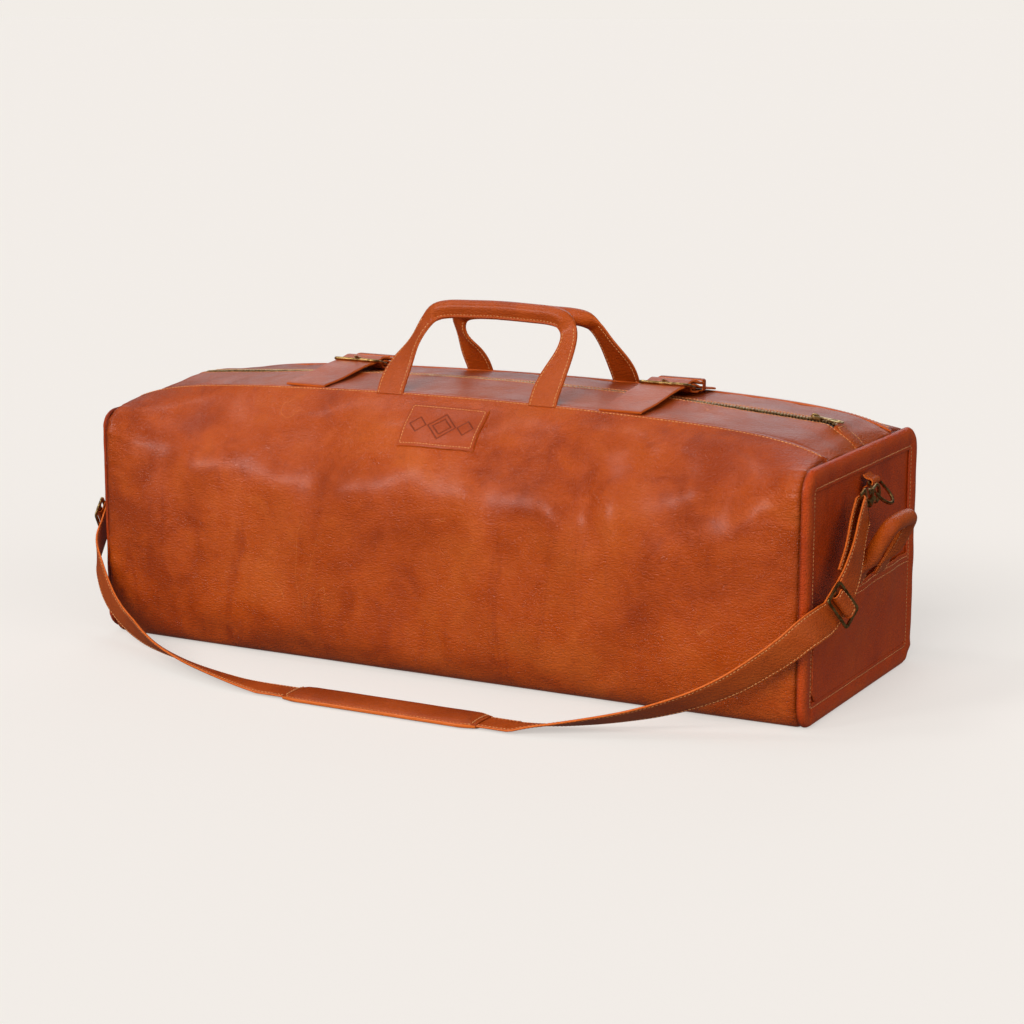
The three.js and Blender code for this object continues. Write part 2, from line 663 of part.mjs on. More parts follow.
// ---------- shoulder strap ----------
// Hand-set stations of the strap's outer layer from the right hook to the pad: centre, then the
// direction from its lower to its upper edge.
const RIGHT_ROUTE = [
  [[453.8, -54.2, 208.7], [0, -0.31, 0.95]],
  [[455.8, -70.0, 195.0], [0, -0.45, 0.89]],
  [[457.8, -88.0, 172.0], [-0.05, -0.6, 0.8]],
  [[457.0, -106.0, 148.0], [-0.2, -0.66, 0.72]],
  [[452.4, -127.0, 128.0], [-0.25, -0.6, 0.76]],
  [[449.0, -140.0, 117.0], [-0.26, -0.52, 0.81]],
  [[445.5, -158.0, 113.0], [-0.32, -0.48, 0.82]],
  [[438.5, -175.0, 106.5], [-0.4, -0.5, 0.76]],
];
const RIGHT_FLOOR = [
  [[424, -185.5, 92], [-0.38, -0.58, 0.72]],
  [[403, -193, 75], [-0.31, -0.64, 0.7]],
  [[373, -204, 54], [-0.14, -0.69, 0.71]],
  [[341, -218, 38], [0.05, -0.74, 0.67]],
  [[310, -232, 27], [0.15, -0.79, 0.6]],
  [[281, -246, 19.5], [0.18, -0.84, 0.5]],
  [[250, -259, 13.5], [0.18, -0.89, 0.42]],
  [[216, -273, 8.6], [0.12, -0.94, 0.3]],
  [[192, -282, 6.2], [0.04, -0.98, 0.18]],
];
const LEFT_FLOOR = [
  [[-150, -285.5, 5], [0, -0.99, 0.1]],
  [[-175, -280, 6], [0, -0.97, 0.2]],
  [[-210, -270, 7.6], [-0.05, -0.94, 0.3]],
  [[-245, -258, 9.4], [-0.1, -0.9, 0.4]],
  [[-285, -242, 12.6], [-0.12, -0.82, 0.54]],
  [[-320, -226, 16.5], [-0.06, -0.68, 0.72]],
  [[-350, -212, 22.5], [0.05, -0.5, 0.86]],
  [[-377, -201, 32], [0.2, -0.42, 0.88]],
  [[-398, -193, 45], [0.33, -0.36, 0.87]],
  [[-413, -186, 59], [0.4, -0.32, 0.86]],
  [[-426, -178, 75], [0.36, -0.3, 0.88]],
  [[-436.5, -169, 90], [0.27, -0.3, 0.92]],
  [[-443.5, -157, 103], [0.2, -0.4, 0.88]],
];

function strapStations() {
  const slope = THREE.MathUtils.degToRad(HOOK_SLOPE);
  const forward = vector(0, Math.cos(slope), Math.sin(slope));
  const across = vector(0, -forward.z, forward.y);
  const bar = hookCentre().addScaledVector(forward, EYE_BAR_Y);
  const fold = steps(0, 180, 8).map((degrees) => {
    const a = THREE.MathUtils.degToRad(degrees);
    const centre = bar.clone().addScaledVector(vector(1, 0, 0), -4.2 * Math.cos(a));
    return { centre: centre.addScaledVector(forward, 4.2 * Math.sin(a)), across };
  });
  const tail = [
    [[452.4, -104.5, 151.5], [-0.2, -0.66, 0.72]],
    [[450.8, -90.0, 170.5], [-0.05, -0.6, 0.8]],
    [[447.3, -71.0, 194.0], [0, -0.45, 0.89]],
  ];
  const station = ([c, w]) => ({ centre: vector(...c), across: vector(...w) });
  const mirror = ([c, w]) => [[-c[0], c[1], c[2]], [-w[0], w[1], w[2]]];
  const smooth = (rows, count) => {
    const list = rows.map(station);
    const centres = new THREE.CatmullRomCurve3(list.map((s) => s.centre), false, "centripetal");
    const edges = new THREE.CatmullRomCurve3(list.map((s) => s.across));
    return steps(0, 1, count).map((t) => ({ centre: centres.getPoint(t), across: edges.getPoint(t) }));
  };
  const flat = [[[172, PAD_Y, PAD_Z], [0, -1, 0]], [[-128, PAD_Y, PAD_Z], [0, -1, 0]]];
  const right = smooth([...RIGHT_ROUTE, ...RIGHT_FLOOR, flat[0]], 40);
  const leftRows = [flat[1], ...LEFT_FLOOR, ...RIGHT_ROUTE.slice(0, 6).map(mirror).reverse()];
  const left = smooth(leftRows, 40);
  const mirrored = (s) => ({
    centre: vector(-s.centre.x, s.centre.y, s.centre.z),
    across: vector(-s.across.x, s.across.y, s.across.z),
  });
  const start = [...tail.map(station), ...fold.slice(0, -1)];
  return [...start, ...right, ...left, ...start.map(mirrored).reverse()];
}

function buildShoulderStrap() {
  const size = { width: CARRY_WIDTH, thickness: CARRY_LEATHER };
  const stations = strapStations().map((s) => ({ ...s, ...size }));
  add("shoulder_strap", band(stations), LEATHER_TAN);

  const sections = [[PAD_FROM, 20.5], [PAD_FROM + 16, 24], [PAD_TO - 16, 24], [PAD_TO, 20.5]];
  const rings = (halfWidth, halfHeight, power) =>
    sections.map(([x, half]) => {
      const [centre, across, up] = [vector(x, PAD_Y, PAD_Z), vector(0, 1, 0), vector(0, 0, 1)];
      return ring(centre, across, up, halfWidth(half), halfHeight, power, 16);
    });
  const pad = sleeve(rings((half) => half, PAD_Z, 5), rings(() => CARRY_WIDTH / 2 + 0.8, 1.9, 12));
  add("shoulder_pad", pad, LEATHER_TAN);
}

// The adjuster: a brass frame with a centre bar on the strap's outer face, and the sewn loop on it.
function buildAdjuster(parent, end) {
  const along = vector(...RIGHT_ROUTE[5][0]).sub(vector(...RIGHT_ROUTE[3][0])).normalize();
  const across = vector(-0.25, -0.62, 0.74);
  across.addScaledVector(along, -across.dot(along)).normalize();
  const out = across.clone().cross(along).normalize();
  if (out.x < 0) out.negate();
  const frame = new THREE.Group();
  const place = new THREE.Matrix4().makeBasis(across, out.clone().cross(across), out);
  frame.quaternion.setFromRotationMatrix(place);
  frame.position.copy(vector(...RIGHT_ROUTE[4][0]).addScaledVector(out, ADJUSTER_LIFT));
  parent.add(frame);
  const shape = roundedRectangle(new THREE.Shape(), 22.5, 14.5, 3);
  for (const y of [-6.2, 6.2]) {
    const window = new THREE.Path();
    roundedRectangle(window, 19, 4.7, 1);
    window.curves.forEach((c) => {
      for (const key of ["v1", "v2"]) if (c[key]) c[key].y += y;
      if (c.aY !== undefined) c.aY += y;
    });
    shape.holes.push(window);
  }
  const plate = new THREE.ExtrudeGeometry(shape, { depth: 3.2, bevelEnabled: false, curveSegments: 4 });
  plate.translate(0, 0, -1.6);
  add("adjuster_" + end, plate, BRASS, frame);
  const fold = [[-9, -3.4], [-4, -3.4], [0, -3.6], [3.4, -2.4], [4.2, 0], [3.4, 2.4], [0, 3.6], [-4, 3.4], [-9, 3.2]];
  const stations = fold.map(([y, z]) => ({
    centre: vector(0, y, z),
    across: vector(1, 0, 0),
    width: CARRY_WIDTH - 1,
    thickness: 1.6,
  }));
  add("strap_loop_" + end, band(stations), LEATHER_TAN, frame);
}

// ---------- patch on the front shoulder ----------
function buildPatch() {
  const lift = 0.5;
  const thickness = 2.2;
  const grid = steps(-47, 47, 6).map((x) => {
    const { shoulder } = sideProfile(x, -1);
    return steps(0.1, 0.42, 6).map((t) => {
      const p = shoulder.getPoint(t);
      const tangent = shoulder.getTangent(t);
      const out = new THREE.Vector2(tangent.y, -tangent.x).multiplyScalar(lift + thickness);
      return vector(x, p.x + out.x, p.y + out.y);
    });
  });
  add("patch", sheet(grid, thickness), LEATHER_DARK);
}

// ---------- assembly ----------
buildBody();
buildLining();
buildTop();
buildSlider();
buildPatch();
for (const [x, end] of [[STRAP_X, "right"], [-STRAP_X, "left"]]) buildTopStrap(x, end);
for (const [side, name] of [[-1, "front"], [1, "back"]]) buildCarryHandle(side, name);
for (const end of ["right", "left"]) {
  const group = new THREE.Group();
  if (end === "left") group.scale.x = -1;
  bag.add(group);
  buildEnd(group, end);
  buildTopEnd(group, end);
  buildEndHandle(group, end);
  buildRing(group, end);
  buildHook(group, end);
  buildAdjuster(group, end);
}
buildShoulderStrap();

export default bag;
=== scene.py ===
"""The looks of the weekender bag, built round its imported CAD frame. Lengths here are millimetres."""

import math

import bpy
import numpy as np
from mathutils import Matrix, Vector


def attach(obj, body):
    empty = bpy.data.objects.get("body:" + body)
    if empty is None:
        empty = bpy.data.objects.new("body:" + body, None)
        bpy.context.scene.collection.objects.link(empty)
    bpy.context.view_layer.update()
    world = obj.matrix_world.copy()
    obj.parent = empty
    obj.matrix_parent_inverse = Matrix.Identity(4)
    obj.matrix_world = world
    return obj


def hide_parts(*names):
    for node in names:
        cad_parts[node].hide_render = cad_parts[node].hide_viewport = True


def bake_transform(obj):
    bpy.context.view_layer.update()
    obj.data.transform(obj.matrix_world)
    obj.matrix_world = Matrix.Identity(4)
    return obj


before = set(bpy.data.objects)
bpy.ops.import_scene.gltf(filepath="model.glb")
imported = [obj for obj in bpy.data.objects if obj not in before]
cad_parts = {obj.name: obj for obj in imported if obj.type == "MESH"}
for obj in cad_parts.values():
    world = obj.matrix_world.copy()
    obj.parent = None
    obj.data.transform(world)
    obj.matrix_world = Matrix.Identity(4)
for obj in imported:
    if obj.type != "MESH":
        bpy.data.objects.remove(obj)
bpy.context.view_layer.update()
MM = 0.001

# ---------- dimensions, as in the CAD source ----------
HALF_LENGTH, PANEL_END = 430.0, 424.0
END_DEPTH, MID_DEPTH, BASE_HALF = 164.0, 176.0, 140.0
SEAM_Y, SEAM_Z, WAIST_Z = 97.0, 300.0, 150.0
ZIP_Z, ZIP_RADIUS, ZIP_DROP_START, ZIP_END = 305.0, 4813.0, 392.0, 402.0
STRAP_X, STRAP_WIDTH = 195.0, 50.0
HEIGHT_AT_END = 266.0
THREAD_PITCH = 4.2


# ---------- small maths ----------
def mix(a, b, t):
    return a + (b - a) * t


def smooth(t, low=0.0, high=1.0):
    t = np.clip((np.asarray(t, float) - low) / (high - low), 0, 1)
    return t * t * (3 - 2 * t)


def bump(t, centre, width):
    """A soft hill of height 1."""
    return np.exp(-(((np.asarray(t, float) - centre) / width) ** 2))


def waves(u, v, seed, count=9):
    """Smooth random relief of about -1 to 1 over u and v, whose unit is one wavelength."""
    rng = np.random.default_rng(seed)
    total = np.zeros(np.broadcast(u, v).shape)
    for _ in range(count):
        angle, phase, pitch = rng.uniform(0, 2 * math.pi, 3)
        rate = 2 * math.pi * mix(0.6, 1.5, pitch / (2 * math.pi))
        total += np.cos(rate * (u * math.cos(angle) + v * math.sin(angle)) + phase)
    return total / math.sqrt(count) / 1.2


def unit(v):
    return v / np.maximum(np.linalg.norm(v, axis=-1, keepdims=True), 1e-9)


def bezier(p0, p1, p2, p3, t):
    s = 1 - t
    return s**3 * p0 + 3 * s * s * t * p1 + 3 * s * t * t * p2 + t**3 * p3


def spline(points, count, closed=False):
    """count points, evenly spaced, along a smooth curve through the given ones."""
    p = np.array(points, float)
    n = len(p)
    segments = n if closed else n - 1
    fine = []
    for i in range(segments):
        a, b = p[i], p[(i + 1) % n]
        before = p[i - 1] if closed or i else 2 * a - b
        after = p[(i + 2) % n] if closed or i + 2 < n else 2 * b - a
        for t in np.linspace(0, 1, 16, endpoint=False):
            fine.append(
                0.5 * (2 * a + (b - before) * t + (2 * before - 5 * a + 4 * b - after) * t**2
                       + (3 * a - before - 3 * b + after) * t**3)
            )
    fine.append(p[0] if closed else p[-1])
    fine = np.array(fine)
    along = np.concatenate([[0], np.cumsum(np.linalg.norm(np.diff(fine, axis=0)[:, :3], axis=1))])
    want = np.linspace(0, along[-1], count, endpoint=not closed)
    return np.stack([np.interp(want, along, fine[:, k]) for k in range(p.shape[1])], 1)


# ---------- meshes ----------
def make(name, points, faces, material, tone=None, sharp=40):
    points = np.asarray(points, float)
    corners = points[np.array([(f[0], f[k], f[k + 1]) for f in faces for k in range(1, len(f) - 1)])]
    if np.sum(corners[:, 0] * np.cross(corners[:, 1], corners[:, 2])) < 0:
        faces = [f[::-1] for f in faces]
    mesh = bpy.data.meshes.new(name)
    mesh.from_pydata((points * MM).tolist(), [], [tuple(f) for f in faces])
    mesh.update()
    if tone is not None:
        mesh.attributes.new("tone", "FLOAT", "POINT").data.foreach_set(
            "value", np.asarray(tone, np.float32)
        )
    mesh.shade_smooth()
    mesh.set_sharp_from_angle(angle=math.radians(sharp))
    mesh.materials.append(material)
    obj = bpy.data.objects.new(name, mesh)
    bpy.context.scene.collection.objects.link(obj)
    return obj


def place(obj, body, slot, *nodes):
    """obj rides on a body and stands for CAD nodes, which it hides. slot is not used."""
    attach(obj, body)
    if nodes:
        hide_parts(*nodes)
    return obj


def grid_faces(rows, columns, wrap=False, start=0, flip=False):
    faces = []
    for i in range(rows - 1):
        for j in range(columns if wrap else columns - 1):
            k = (j + 1) % columns
            face = [start + i * columns + j, start + i * columns + k,
                    start + (i + 1) * columns + k, start + (i + 1) * columns + j]
            faces.append(face[::-1] if flip else face)
    return faces


def normals_of(grid):
    return unit(np.cross(np.gradient(grid, axis=0), np.gradient(grid, axis=1)))


def leather_sheet(name, grid, thickness, material, facing, tone=None, edge_tone=1.0):
    """A sheet with rounded cut edges. grid holds its outer face, rows by columns of points."""
    rows, columns, _ = grid.shape
    normals = normals_of(grid)
    if np.mean(normals @ np.asarray(facing, float)) < 0:
        normals = -normals
    inner = grid - normals * thickness
    index = np.arange(rows * columns).reshape(rows, columns)
    rim = np.concatenate([index[0, :], index[1:, -1], index[-1, -2::-1], index[-2:0:-1, 0]])
    flat, flat_in = grid.reshape(-1, 3), inner.reshape(-1, 3)
    inwards = np.zeros_like(grid)
    inwards[0] += grid[1] - grid[0]
    inwards[-1] += grid[-2] - grid[-1]
    inwards[:, 0] += grid[:, 1] - grid[:, 0]
    inwards[:, -1] += grid[:, -2] - grid[:, -1]
    middle = (flat[rim] + flat_in[rim]) / 2 - unit(inwards.reshape(-1, 3)[rim]) * thickness * 0.35
    total, count = rows * columns, len(rim)
    faces = grid_faces(rows, columns) + grid_faces(rows, columns, start=total, flip=True)
    for i in range(count):
        j = (i + 1) % count
        a, b, c, d = rim[i], rim[j], 2 * total + j, 2 * total + i
        faces += [[b, a, d, c], [c, d, total + a, total + b]]
    shade = np.zeros(2 * total + count)
    if tone is not None:
        shade[:total] = np.asarray(tone).reshape(-1)
    shade[2 * total:] = edge_tone
    return make(name, np.concatenate([flat, flat_in, middle]), faces, material, shade)


def loft(name, centres, across, out, section, material, tone=None, closed=False):
    """Sweeps a closed section. section is (a, b) pairs, one set or one set for each centre."""
    centres, across, out = (np.asarray(v, float) for v in (centres, across, out))
    section = np.asarray(section, float)
    if section.ndim == 2:
        section = np.repeat(section[None], len(centres), axis=0)
    rings = (centres[:, None] + section[..., :1] * across[:, None] + section[..., 1:] * out[:, None])
    count, size = rings.shape[:2]
    points = rings.reshape(-1, 3)
    if closed:
        rings = np.concatenate([rings, rings[:1]])
        faces = [[i % (count * size) for i in face] for face in grid_faces(count + 1, size, wrap=True)]
    else:
        faces = grid_faces(count, size, wrap=True)
        faces.append(list(range(size)))
        faces.append(list(range((count - 1) * size, count * size))[::-1])
    shade = None if tone is None else np.tile(tone, count)
    return make(name, points, faces, material, shade)


def frames_along(points, hint):
    """Tangent, across and out vectors along a path, where across stays near hint."""
    tangents = unit(np.gradient(np.asarray(points, float), axis=0))
    hint = np.broadcast_to(np.asarray(hint, float), tangents.shape)
    across = unit(hint - tangents * np.sum(hint * tangents, -1, keepdims=True))
    return tangents, across, np.cross(tangents, across)


def circle(radius, count=12):
    angles = np.linspace(0, 2 * math.pi, count, endpoint=False)
    return np.stack([radius * np.cos(angles), radius * np.sin(angles)], 1)


def wire(name, points, radius, material, closed=False, count=14, hint=(0, 0, 1)):
    """A round rod along points; its ends are domed."""
    points = np.asarray(points, float)
    if closed:
        ahead = np.roll(points, -1, 0) - np.roll(points, 1, 0)
        tangents = unit(ahead)
        hints = np.broadcast_to(np.asarray(hint, float), tangents.shape)
        across = unit(hints - tangents * np.sum(hints * tangents, -1, keepdims=True))
        out = np.cross(tangents, across)
        return loft(name, points, across, out, circle(radius, count), material, closed=True)
    tangents, across, out = frames_along(points, hint)
    sizes = np.ones(len(points))
    start = [points[0] - tangents[0] * radius * h for h in (0.9, 0.6, 0.25)]
    end = [points[-1] + tangents[-1] * radius * h for h in (0.25, 0.6, 0.9)]
    cap = [0.35, 0.75, 0.96]
    points = np.concatenate([start, points, end])
    across = np.concatenate([[across[0]] * 3, across, [across[-1]] * 3])
    out = np.concatenate([[out[0]] * 3, out, [out[-1]] * 3])
    sizes = np.concatenate([cap, sizes, cap[::-1]])
    section = circle(radius, count)[None] * sizes[:, None, None]
    return loft(name, points, across, out, section, material)


def joined(name, *objs):
    """Several meshes as one piece."""
    bpy.ops.object.select_all(action="DESELECT")
    for obj in objs:
        obj.select_set(True)
    bpy.context.view_layer.objects.active = objs[0]
    bpy.ops.object.join()
    objs[0].name = name
    return objs[0]


# ---------- stitching ----------
threads = {}  # the stitches of each body, or of each mouth end piece baked in place


def stitch(key, points, normals, pitch=THREAD_PITCH, radius=0.5, sink=0.1):
    """Stitches along a line on a surface, kept until finish_threads()."""
    points, normals = np.asarray(points, float), unit(np.asarray(normals, float))
    along = np.concatenate([[0], np.cumsum(np.linalg.norm(np.diff(points, axis=0), axis=1))])
    number = max(1, int(along[-1] / pitch))
    step = along[-1] / number
    shape = [(-0.5, 0.25, -0.5), (-0.42, 0.8, 0.0), (-0.2, 1.0, 0.35), (0.2, 1.0, 0.35),
             (0.42, 0.8, 0.0), (0.5, 0.25, -0.5)]

    def at(distance):
        p = np.array([np.interp(distance, along, points[:, k]) for k in range(3)])
        n = np.array([np.interp(distance, along, normals[:, k]) for k in range(3)])
        return p, n

    batch = threads.setdefault(key, [])
    for i in range(number):
        middle = (i + 0.5) * step
        p, n = at(middle)
        a, _ = at(middle - 0.3 * step)
        b, _ = at(middle + 0.3 * step)
        tangent, n = unit(b - a), unit(n)
        side = np.cross(tangent, n)
        rings = []
        for s, size, lift in shape:
            centre = p + tangent * s * step * 0.74 + n * (lift * radius - sink)
            for k in range(6):
                angle = k * math.pi / 3
                rings.append(centre + radius * size * (math.cos(angle) * side + math.sin(angle) * n))
        batch.append(np.array(rings))


def finish_threads(material, riders):
    """One mesh of stitches for each key; riders says what each key rides on."""
    one = grid_faces(6, 6, wrap=True, flip=True)
    one += [[0, 1, 2, 3, 4, 5], [35, 34, 33, 32, 31, 30]]
    for key, batch in threads.items():
        points = np.concatenate(batch)
        faces = [[v + 36 * i for v in face] for i in range(len(batch)) for face in one]
        obj = make("stitches_" + key, points, faces, material)
        riders[key](obj)


# ---------- materials ----------
def srgb(red, green, blue):
    """A linear colour from 0-255 display values."""
    return [*(((c / 255 + 0.055) / 1.055) ** 2.4 if c > 10 else c / 255 / 12.92
              for c in (red, green, blue)), 1.0]


class Graph:
    """A material's node tree, with short calls for the nodes used here."""

    def __init__(self, name, **shader):
        self.material = bpy.data.materials.new(name)
        self.material.use_nodes = True
        self.tree = self.material.node_tree
        self.shader = self.tree.nodes["Principled BSDF"]
        for key, value in shader.items():
            self.shader.inputs[key.replace("_", " ").title().replace("Ior", "IOR")].default_value = value
        self.where = self.add("ShaderNodeTexCoord").outputs["Object"]

    def add(self, kind, inputs=(), **settings):
        node = self.tree.nodes.new(kind)
        for key, value in settings.items():
            setattr(node, key, value)
        for key, value in dict(inputs).items():
            self.put(node.inputs[key], value)
        return node

    def put(self, socket, value):
        if isinstance(value, bpy.types.NodeSocket):
            self.tree.links.new(value, socket)
        else:
            socket.default_value = value

    def noise(self, scale, detail=3.0, roughness=0.5, distortion=0.0, where=None):
        inputs = {"Vector": where or self.where, "Scale": scale, "Detail": detail,
                  "Roughness": roughness, "Distortion": distortion}
        return self.add("ShaderNodeTexNoise", inputs).outputs["Fac"]

    def cells(self, scale, where=None):
        """Distance to the nearest edge of a pattern of cells."""
        inputs = {"Vector": where or self.where, "Scale": scale}
        node = self.add("ShaderNodeTexVoronoi", inputs, feature="DISTANCE_TO_EDGE")
        return node.outputs["Distance"]

    def stretched(self, x, y, z):
        return self.add("ShaderNodeMapping", {"Vector": self.where, "Scale": (x, y, z)}).outputs[0]

    def math(self, operation, a, b=0.0, clamp=False):
        node = self.add("ShaderNodeMath", operation=operation, use_clamp=clamp)
        self.put(node.inputs[0], a)
        self.put(node.inputs[1], b)
        return node.outputs[0]

    def between(self, value, low, high, to_low=0.0, to_high=1.0):
        inputs = {"Value": value, "From Min": low, "From Max": high,
                  "To Min": to_low, "To Max": to_high}
        return self.add("ShaderNodeMapRange", inputs, interpolation_type="SMOOTHSTEP").outputs[0]

    def blend(self, amount, a, b, kind="MIX"):
        node = self.add("ShaderNodeMix", data_type="RGBA", blend_type=kind)
        for socket, value in ((0, amount), (6, a), (7, b)):
            self.put(node.inputs[socket], value)
        return node.outputs[2]

    def attribute(self, name="tone"):
        return self.add("ShaderNodeAttribute", attribute_name=name).outputs["Fac"]

    def relief(self, height, distance, normal=None, strength=1.0):
        inputs = {"Height": height, "Distance": distance, "Strength": strength}
        if normal:
            inputs["Normal"] = normal
        return self.add("ShaderNodeBump", inputs).outputs[0]

    def finish(self, colour=None, roughness=None, normal=None):
        for key, value in (("Base Color", colour), ("Roughness", roughness), ("Normal", normal)):
            if value is not None:
                self.put(self.shader.inputs[key], value)
        return self.material


def leather(name, dark, base, light, edge, rough=0.40, mottle=1.0, grain=1.0, coat=0.18):
    """Waxed full-grain leather: pebbled grain, cloudy dye, creases, fine pale scars, lighter cut edges, and
    painted shade from the tone attribute.
    """
    g = Graph(name, coat_weight=coat, coat_roughness=0.27, specular_ior_level=0.42)
    cloud = g.noise(7.5, 3, 0.55, 0.6)
    patch = g.noise(26, 5, 0.6, 0.8)
    speckle = g.noise(330, 2, 0.5)
    tint = g.math("ADD", g.math("MULTIPLY", cloud, 0.62), g.math("MULTIPLY", patch, 0.38))
    colour = g.blend(g.between(tint, 0.36, 0.54, 1 - 0.58 * mottle, 1.0), dark, base)
    colour = g.blend(g.between(tint, 0.48, 0.72, 0, 0.75 * mottle), colour, light)
    streaks = g.noise(5, 5, 0.65, 1.2, g.stretched(7, 7, 1.1))
    colour = g.blend(g.between(streaks, 0.56, 0.74, 0, 0.42 * mottle), colour, dark)
    colour = g.blend(g.between(speckle, 0.35, 0.7, 0, 0.12), colour, dark)
    pebble = g.cells(560, g.stretched(1, 1, 0.85))
    wrinkle = g.cells(150, g.stretched(1, 1, 2.2))
    where_grain = g.between(g.noise(11, 2), 0.35, 0.65, 0.45, 1.0)
    colour = g.blend(g.between(pebble, 0.0, 0.10, 0.20 * grain, 0.0), colour, dark)
    scar = g.noise(16, 1, 0.3, 2.6, g.stretched(1, 1, 0.35))
    thin = g.math("ABSOLUTE", g.math("SUBTRACT", scar, 0.5))
    rare = g.between(g.noise(9, 2), 0.64, 0.70)
    scars = g.math("MULTIPLY", g.between(thin, 0.0, 0.006, 0.5, 0.0), rare)
    colour = g.blend(scars, colour, srgb(228, 140, 74))
    # Tone below zero darkens towards a deep brown. At seams, grooves, tucks, the base and inside the pad's
    # sleeve this is painted shade; on the patch it is the pressed mark's own darker colour. Tone above zero
    # gives the lighter colour of cut edges and worn crests.
    tone = g.attribute()
    colour = g.blend(g.math("MULTIPLY", tone, -1.0, True), colour, [c * 0.45 for c in dark[:3]] + [1])
    colour = g.blend(g.math("MULTIPLY", tone, 1.0, True), colour, edge)
    roughness = g.between(patch, 0.3, 0.7, rough - 0.07, rough + 0.10)
    normal = g.relief(g.between(wrinkle, 0.0, 0.22), 0.00055 * grain, strength=0.6)
    height = g.math("MULTIPLY", g.between(pebble, 0.0, 0.28), where_grain)
    normal = g.relief(height, 0.00045 * grain, normal, 0.8)
    normal = g.relief(g.noise(60, 4, 0.6), 0.0011, normal, 0.45)
    return g.finish(colour, roughness, normal)


def metal(name, colour, shade, rough, wear=0.5):
    """Antiqued brass: darker in its pits, rubbed bright, with fine scratches."""
    g = Graph(name, metallic=1.0)
    patina = g.noise(190, 4, 0.62, 0.4)
    rubbed = g.noise(70, 2, 0.5)
    tint = g.blend(g.between(patina, 0.38, 0.66), shade, colour)
    tint = g.blend(g.between(rubbed, 0.5, 0.7, 0, wear), tint, [min(1, c * 1.25) for c in colour[:3]] + [1])
    scratches = g.noise(260, 3, 0.6, 0.2, g.stretched(1, 6, 1))
    roughness = g.between(patina, 0.3, 0.7, rough + 0.16, rough)
    normal = g.relief(scratches, 0.00008, strength=0.5)
    return g.finish(tint, roughness, normal)


def thread_look(name, colour, dark):
    g = Graph(name, roughness=0.65, sheen_weight=0.2)
    twist = g.noise(900, 2, 0.5)
    tint = g.blend(g.between(twist, 0.35, 0.65), dark, colour)
    return g.finish(tint, None, g.relief(twist, 0.0002, strength=0.6))


def cloth_look(name, colour, dark, pitch):
    """A plain weave, drawn by two crossed sets of ridges."""
    g = Graph(name, roughness=0.9, sheen_weight=0.25)
    ways = []
    for direction in ("X", "Z"):
        inputs = {"Vector": g.where, "Scale": 0.314 / pitch, "Distortion": 0.4}
        ways.append(g.add("ShaderNodeTexWave", inputs, bands_direction=direction).outputs["Fac"])
    weave = g.math("MULTIPLY", *ways)
    worn = g.noise(14, 4, 0.6)
    tint = g.blend(g.between(weave, 0.0, 0.7), dark, colour)
    tint = g.blend(g.between(worn, 0.35, 0.7, 0, 0.35), tint, dark)
    return g.finish(tint, None, g.relief(weave, 0.0004, strength=0.7))


DEEP, TAN, GLOW = srgb(134, 42, 6), srgb(184, 75, 12), srgb(204, 96, 26)
EDGE = srgb(222, 108, 36)
BODY = leather("leather_body_look", DEEP, TAN, GLOW, EDGE, 0.34)
TOP = leather("leather_top_look", srgb(128, 44, 8), srgb(174, 72, 14), srgb(192, 92, 28), EDGE, 0.40, 0.8)
END = leather("leather_end_look", srgb(142, 42, 3), srgb(190, 66, 6), srgb(204, 84, 14), EDGE, 0.46, 0.8, 0.8)
STRAP = leather("leather_strap_look", srgb(134, 46, 6), srgb(180, 76, 14), srgb(198, 94, 26), EDGE,
                0.42, 0.8, 0.7)
PATCH = leather("leather_patch_look", srgb(126, 42, 8), srgb(176, 70, 16), srgb(196, 88, 28), EDGE,
                0.45, 0.6, 0.7)
BRASS = metal("antique_brass_look", srgb(226, 188, 118), srgb(150, 114, 66), 0.36)
BRIGHT = metal("bright_brass_look", srgb(246, 222, 166), srgb(196, 164, 108), 0.34, 0.7)
THREAD = thread_look("thread_look", srgb(236, 168, 104), srgb(196, 120, 64))
TAPE = cloth_look("zip_tape_look", srgb(84, 44, 24), srgb(44, 22, 12), 0.0007)
COTTON = cloth_look("cotton_look", srgb(126, 100, 72), srgb(84, 64, 44), 0.0009)
riders = {"bag": lambda obj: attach(obj, "bag")}


# ---------- the body ----------
def pinch(x):
    return 1 - np.abs(x / HALF_LENGTH) ** 5


def seam_z(x):
    t = np.abs(x / HALF_LENGTH)
    return SEAM_Z - 16 * t**2 - 18 * t**10


def zip_z(x):
    beyond = np.maximum(0, np.abs(x) - ZIP_DROP_START) / (PANEL_END - ZIP_DROP_START)
    return ZIP_Z - ZIP_RADIUS + np.sqrt(ZIP_RADIUS**2 - np.asarray(x) ** 2) - 24 * beyond**1.4


def top_z(x, y):
    across = np.clip((np.abs(y) - 12) / (SEAM_Y - 12), 0, 1)
    return mix(zip_z(x), seam_z(x), across**1.5)


def side_point(x, t, side):
    """The bag's side at station x: t is 0 at the top seam, 1 at the waist, 2 at the base seam."""
    x, t = np.broadcast_arrays(np.asarray(x, float), np.asarray(t, float))
    w = pinch(x)
    depth, top = mix(END_DEPTH, MID_DEPTH, w), seam_z(x)
    low = np.clip(t - 1, 0, 1)
    high = np.clip(t, 0, 1)
    y = np.where(t < 1, bezier(SEAM_Y + 0.5, mix(158, 138, w), depth, depth, high),
                 bezier(depth, depth + 2, depth + 2, BASE_HALF + 0.3, low))
    z = np.where(t < 1, bezier(top, top - 30 * w, mix(252, 214, w), WAIST_Z, high),
                 bezier(WAIST_Z, 55.0, 0.0, 0.0, low))
    return np.stack([x, side * y, z], -1)


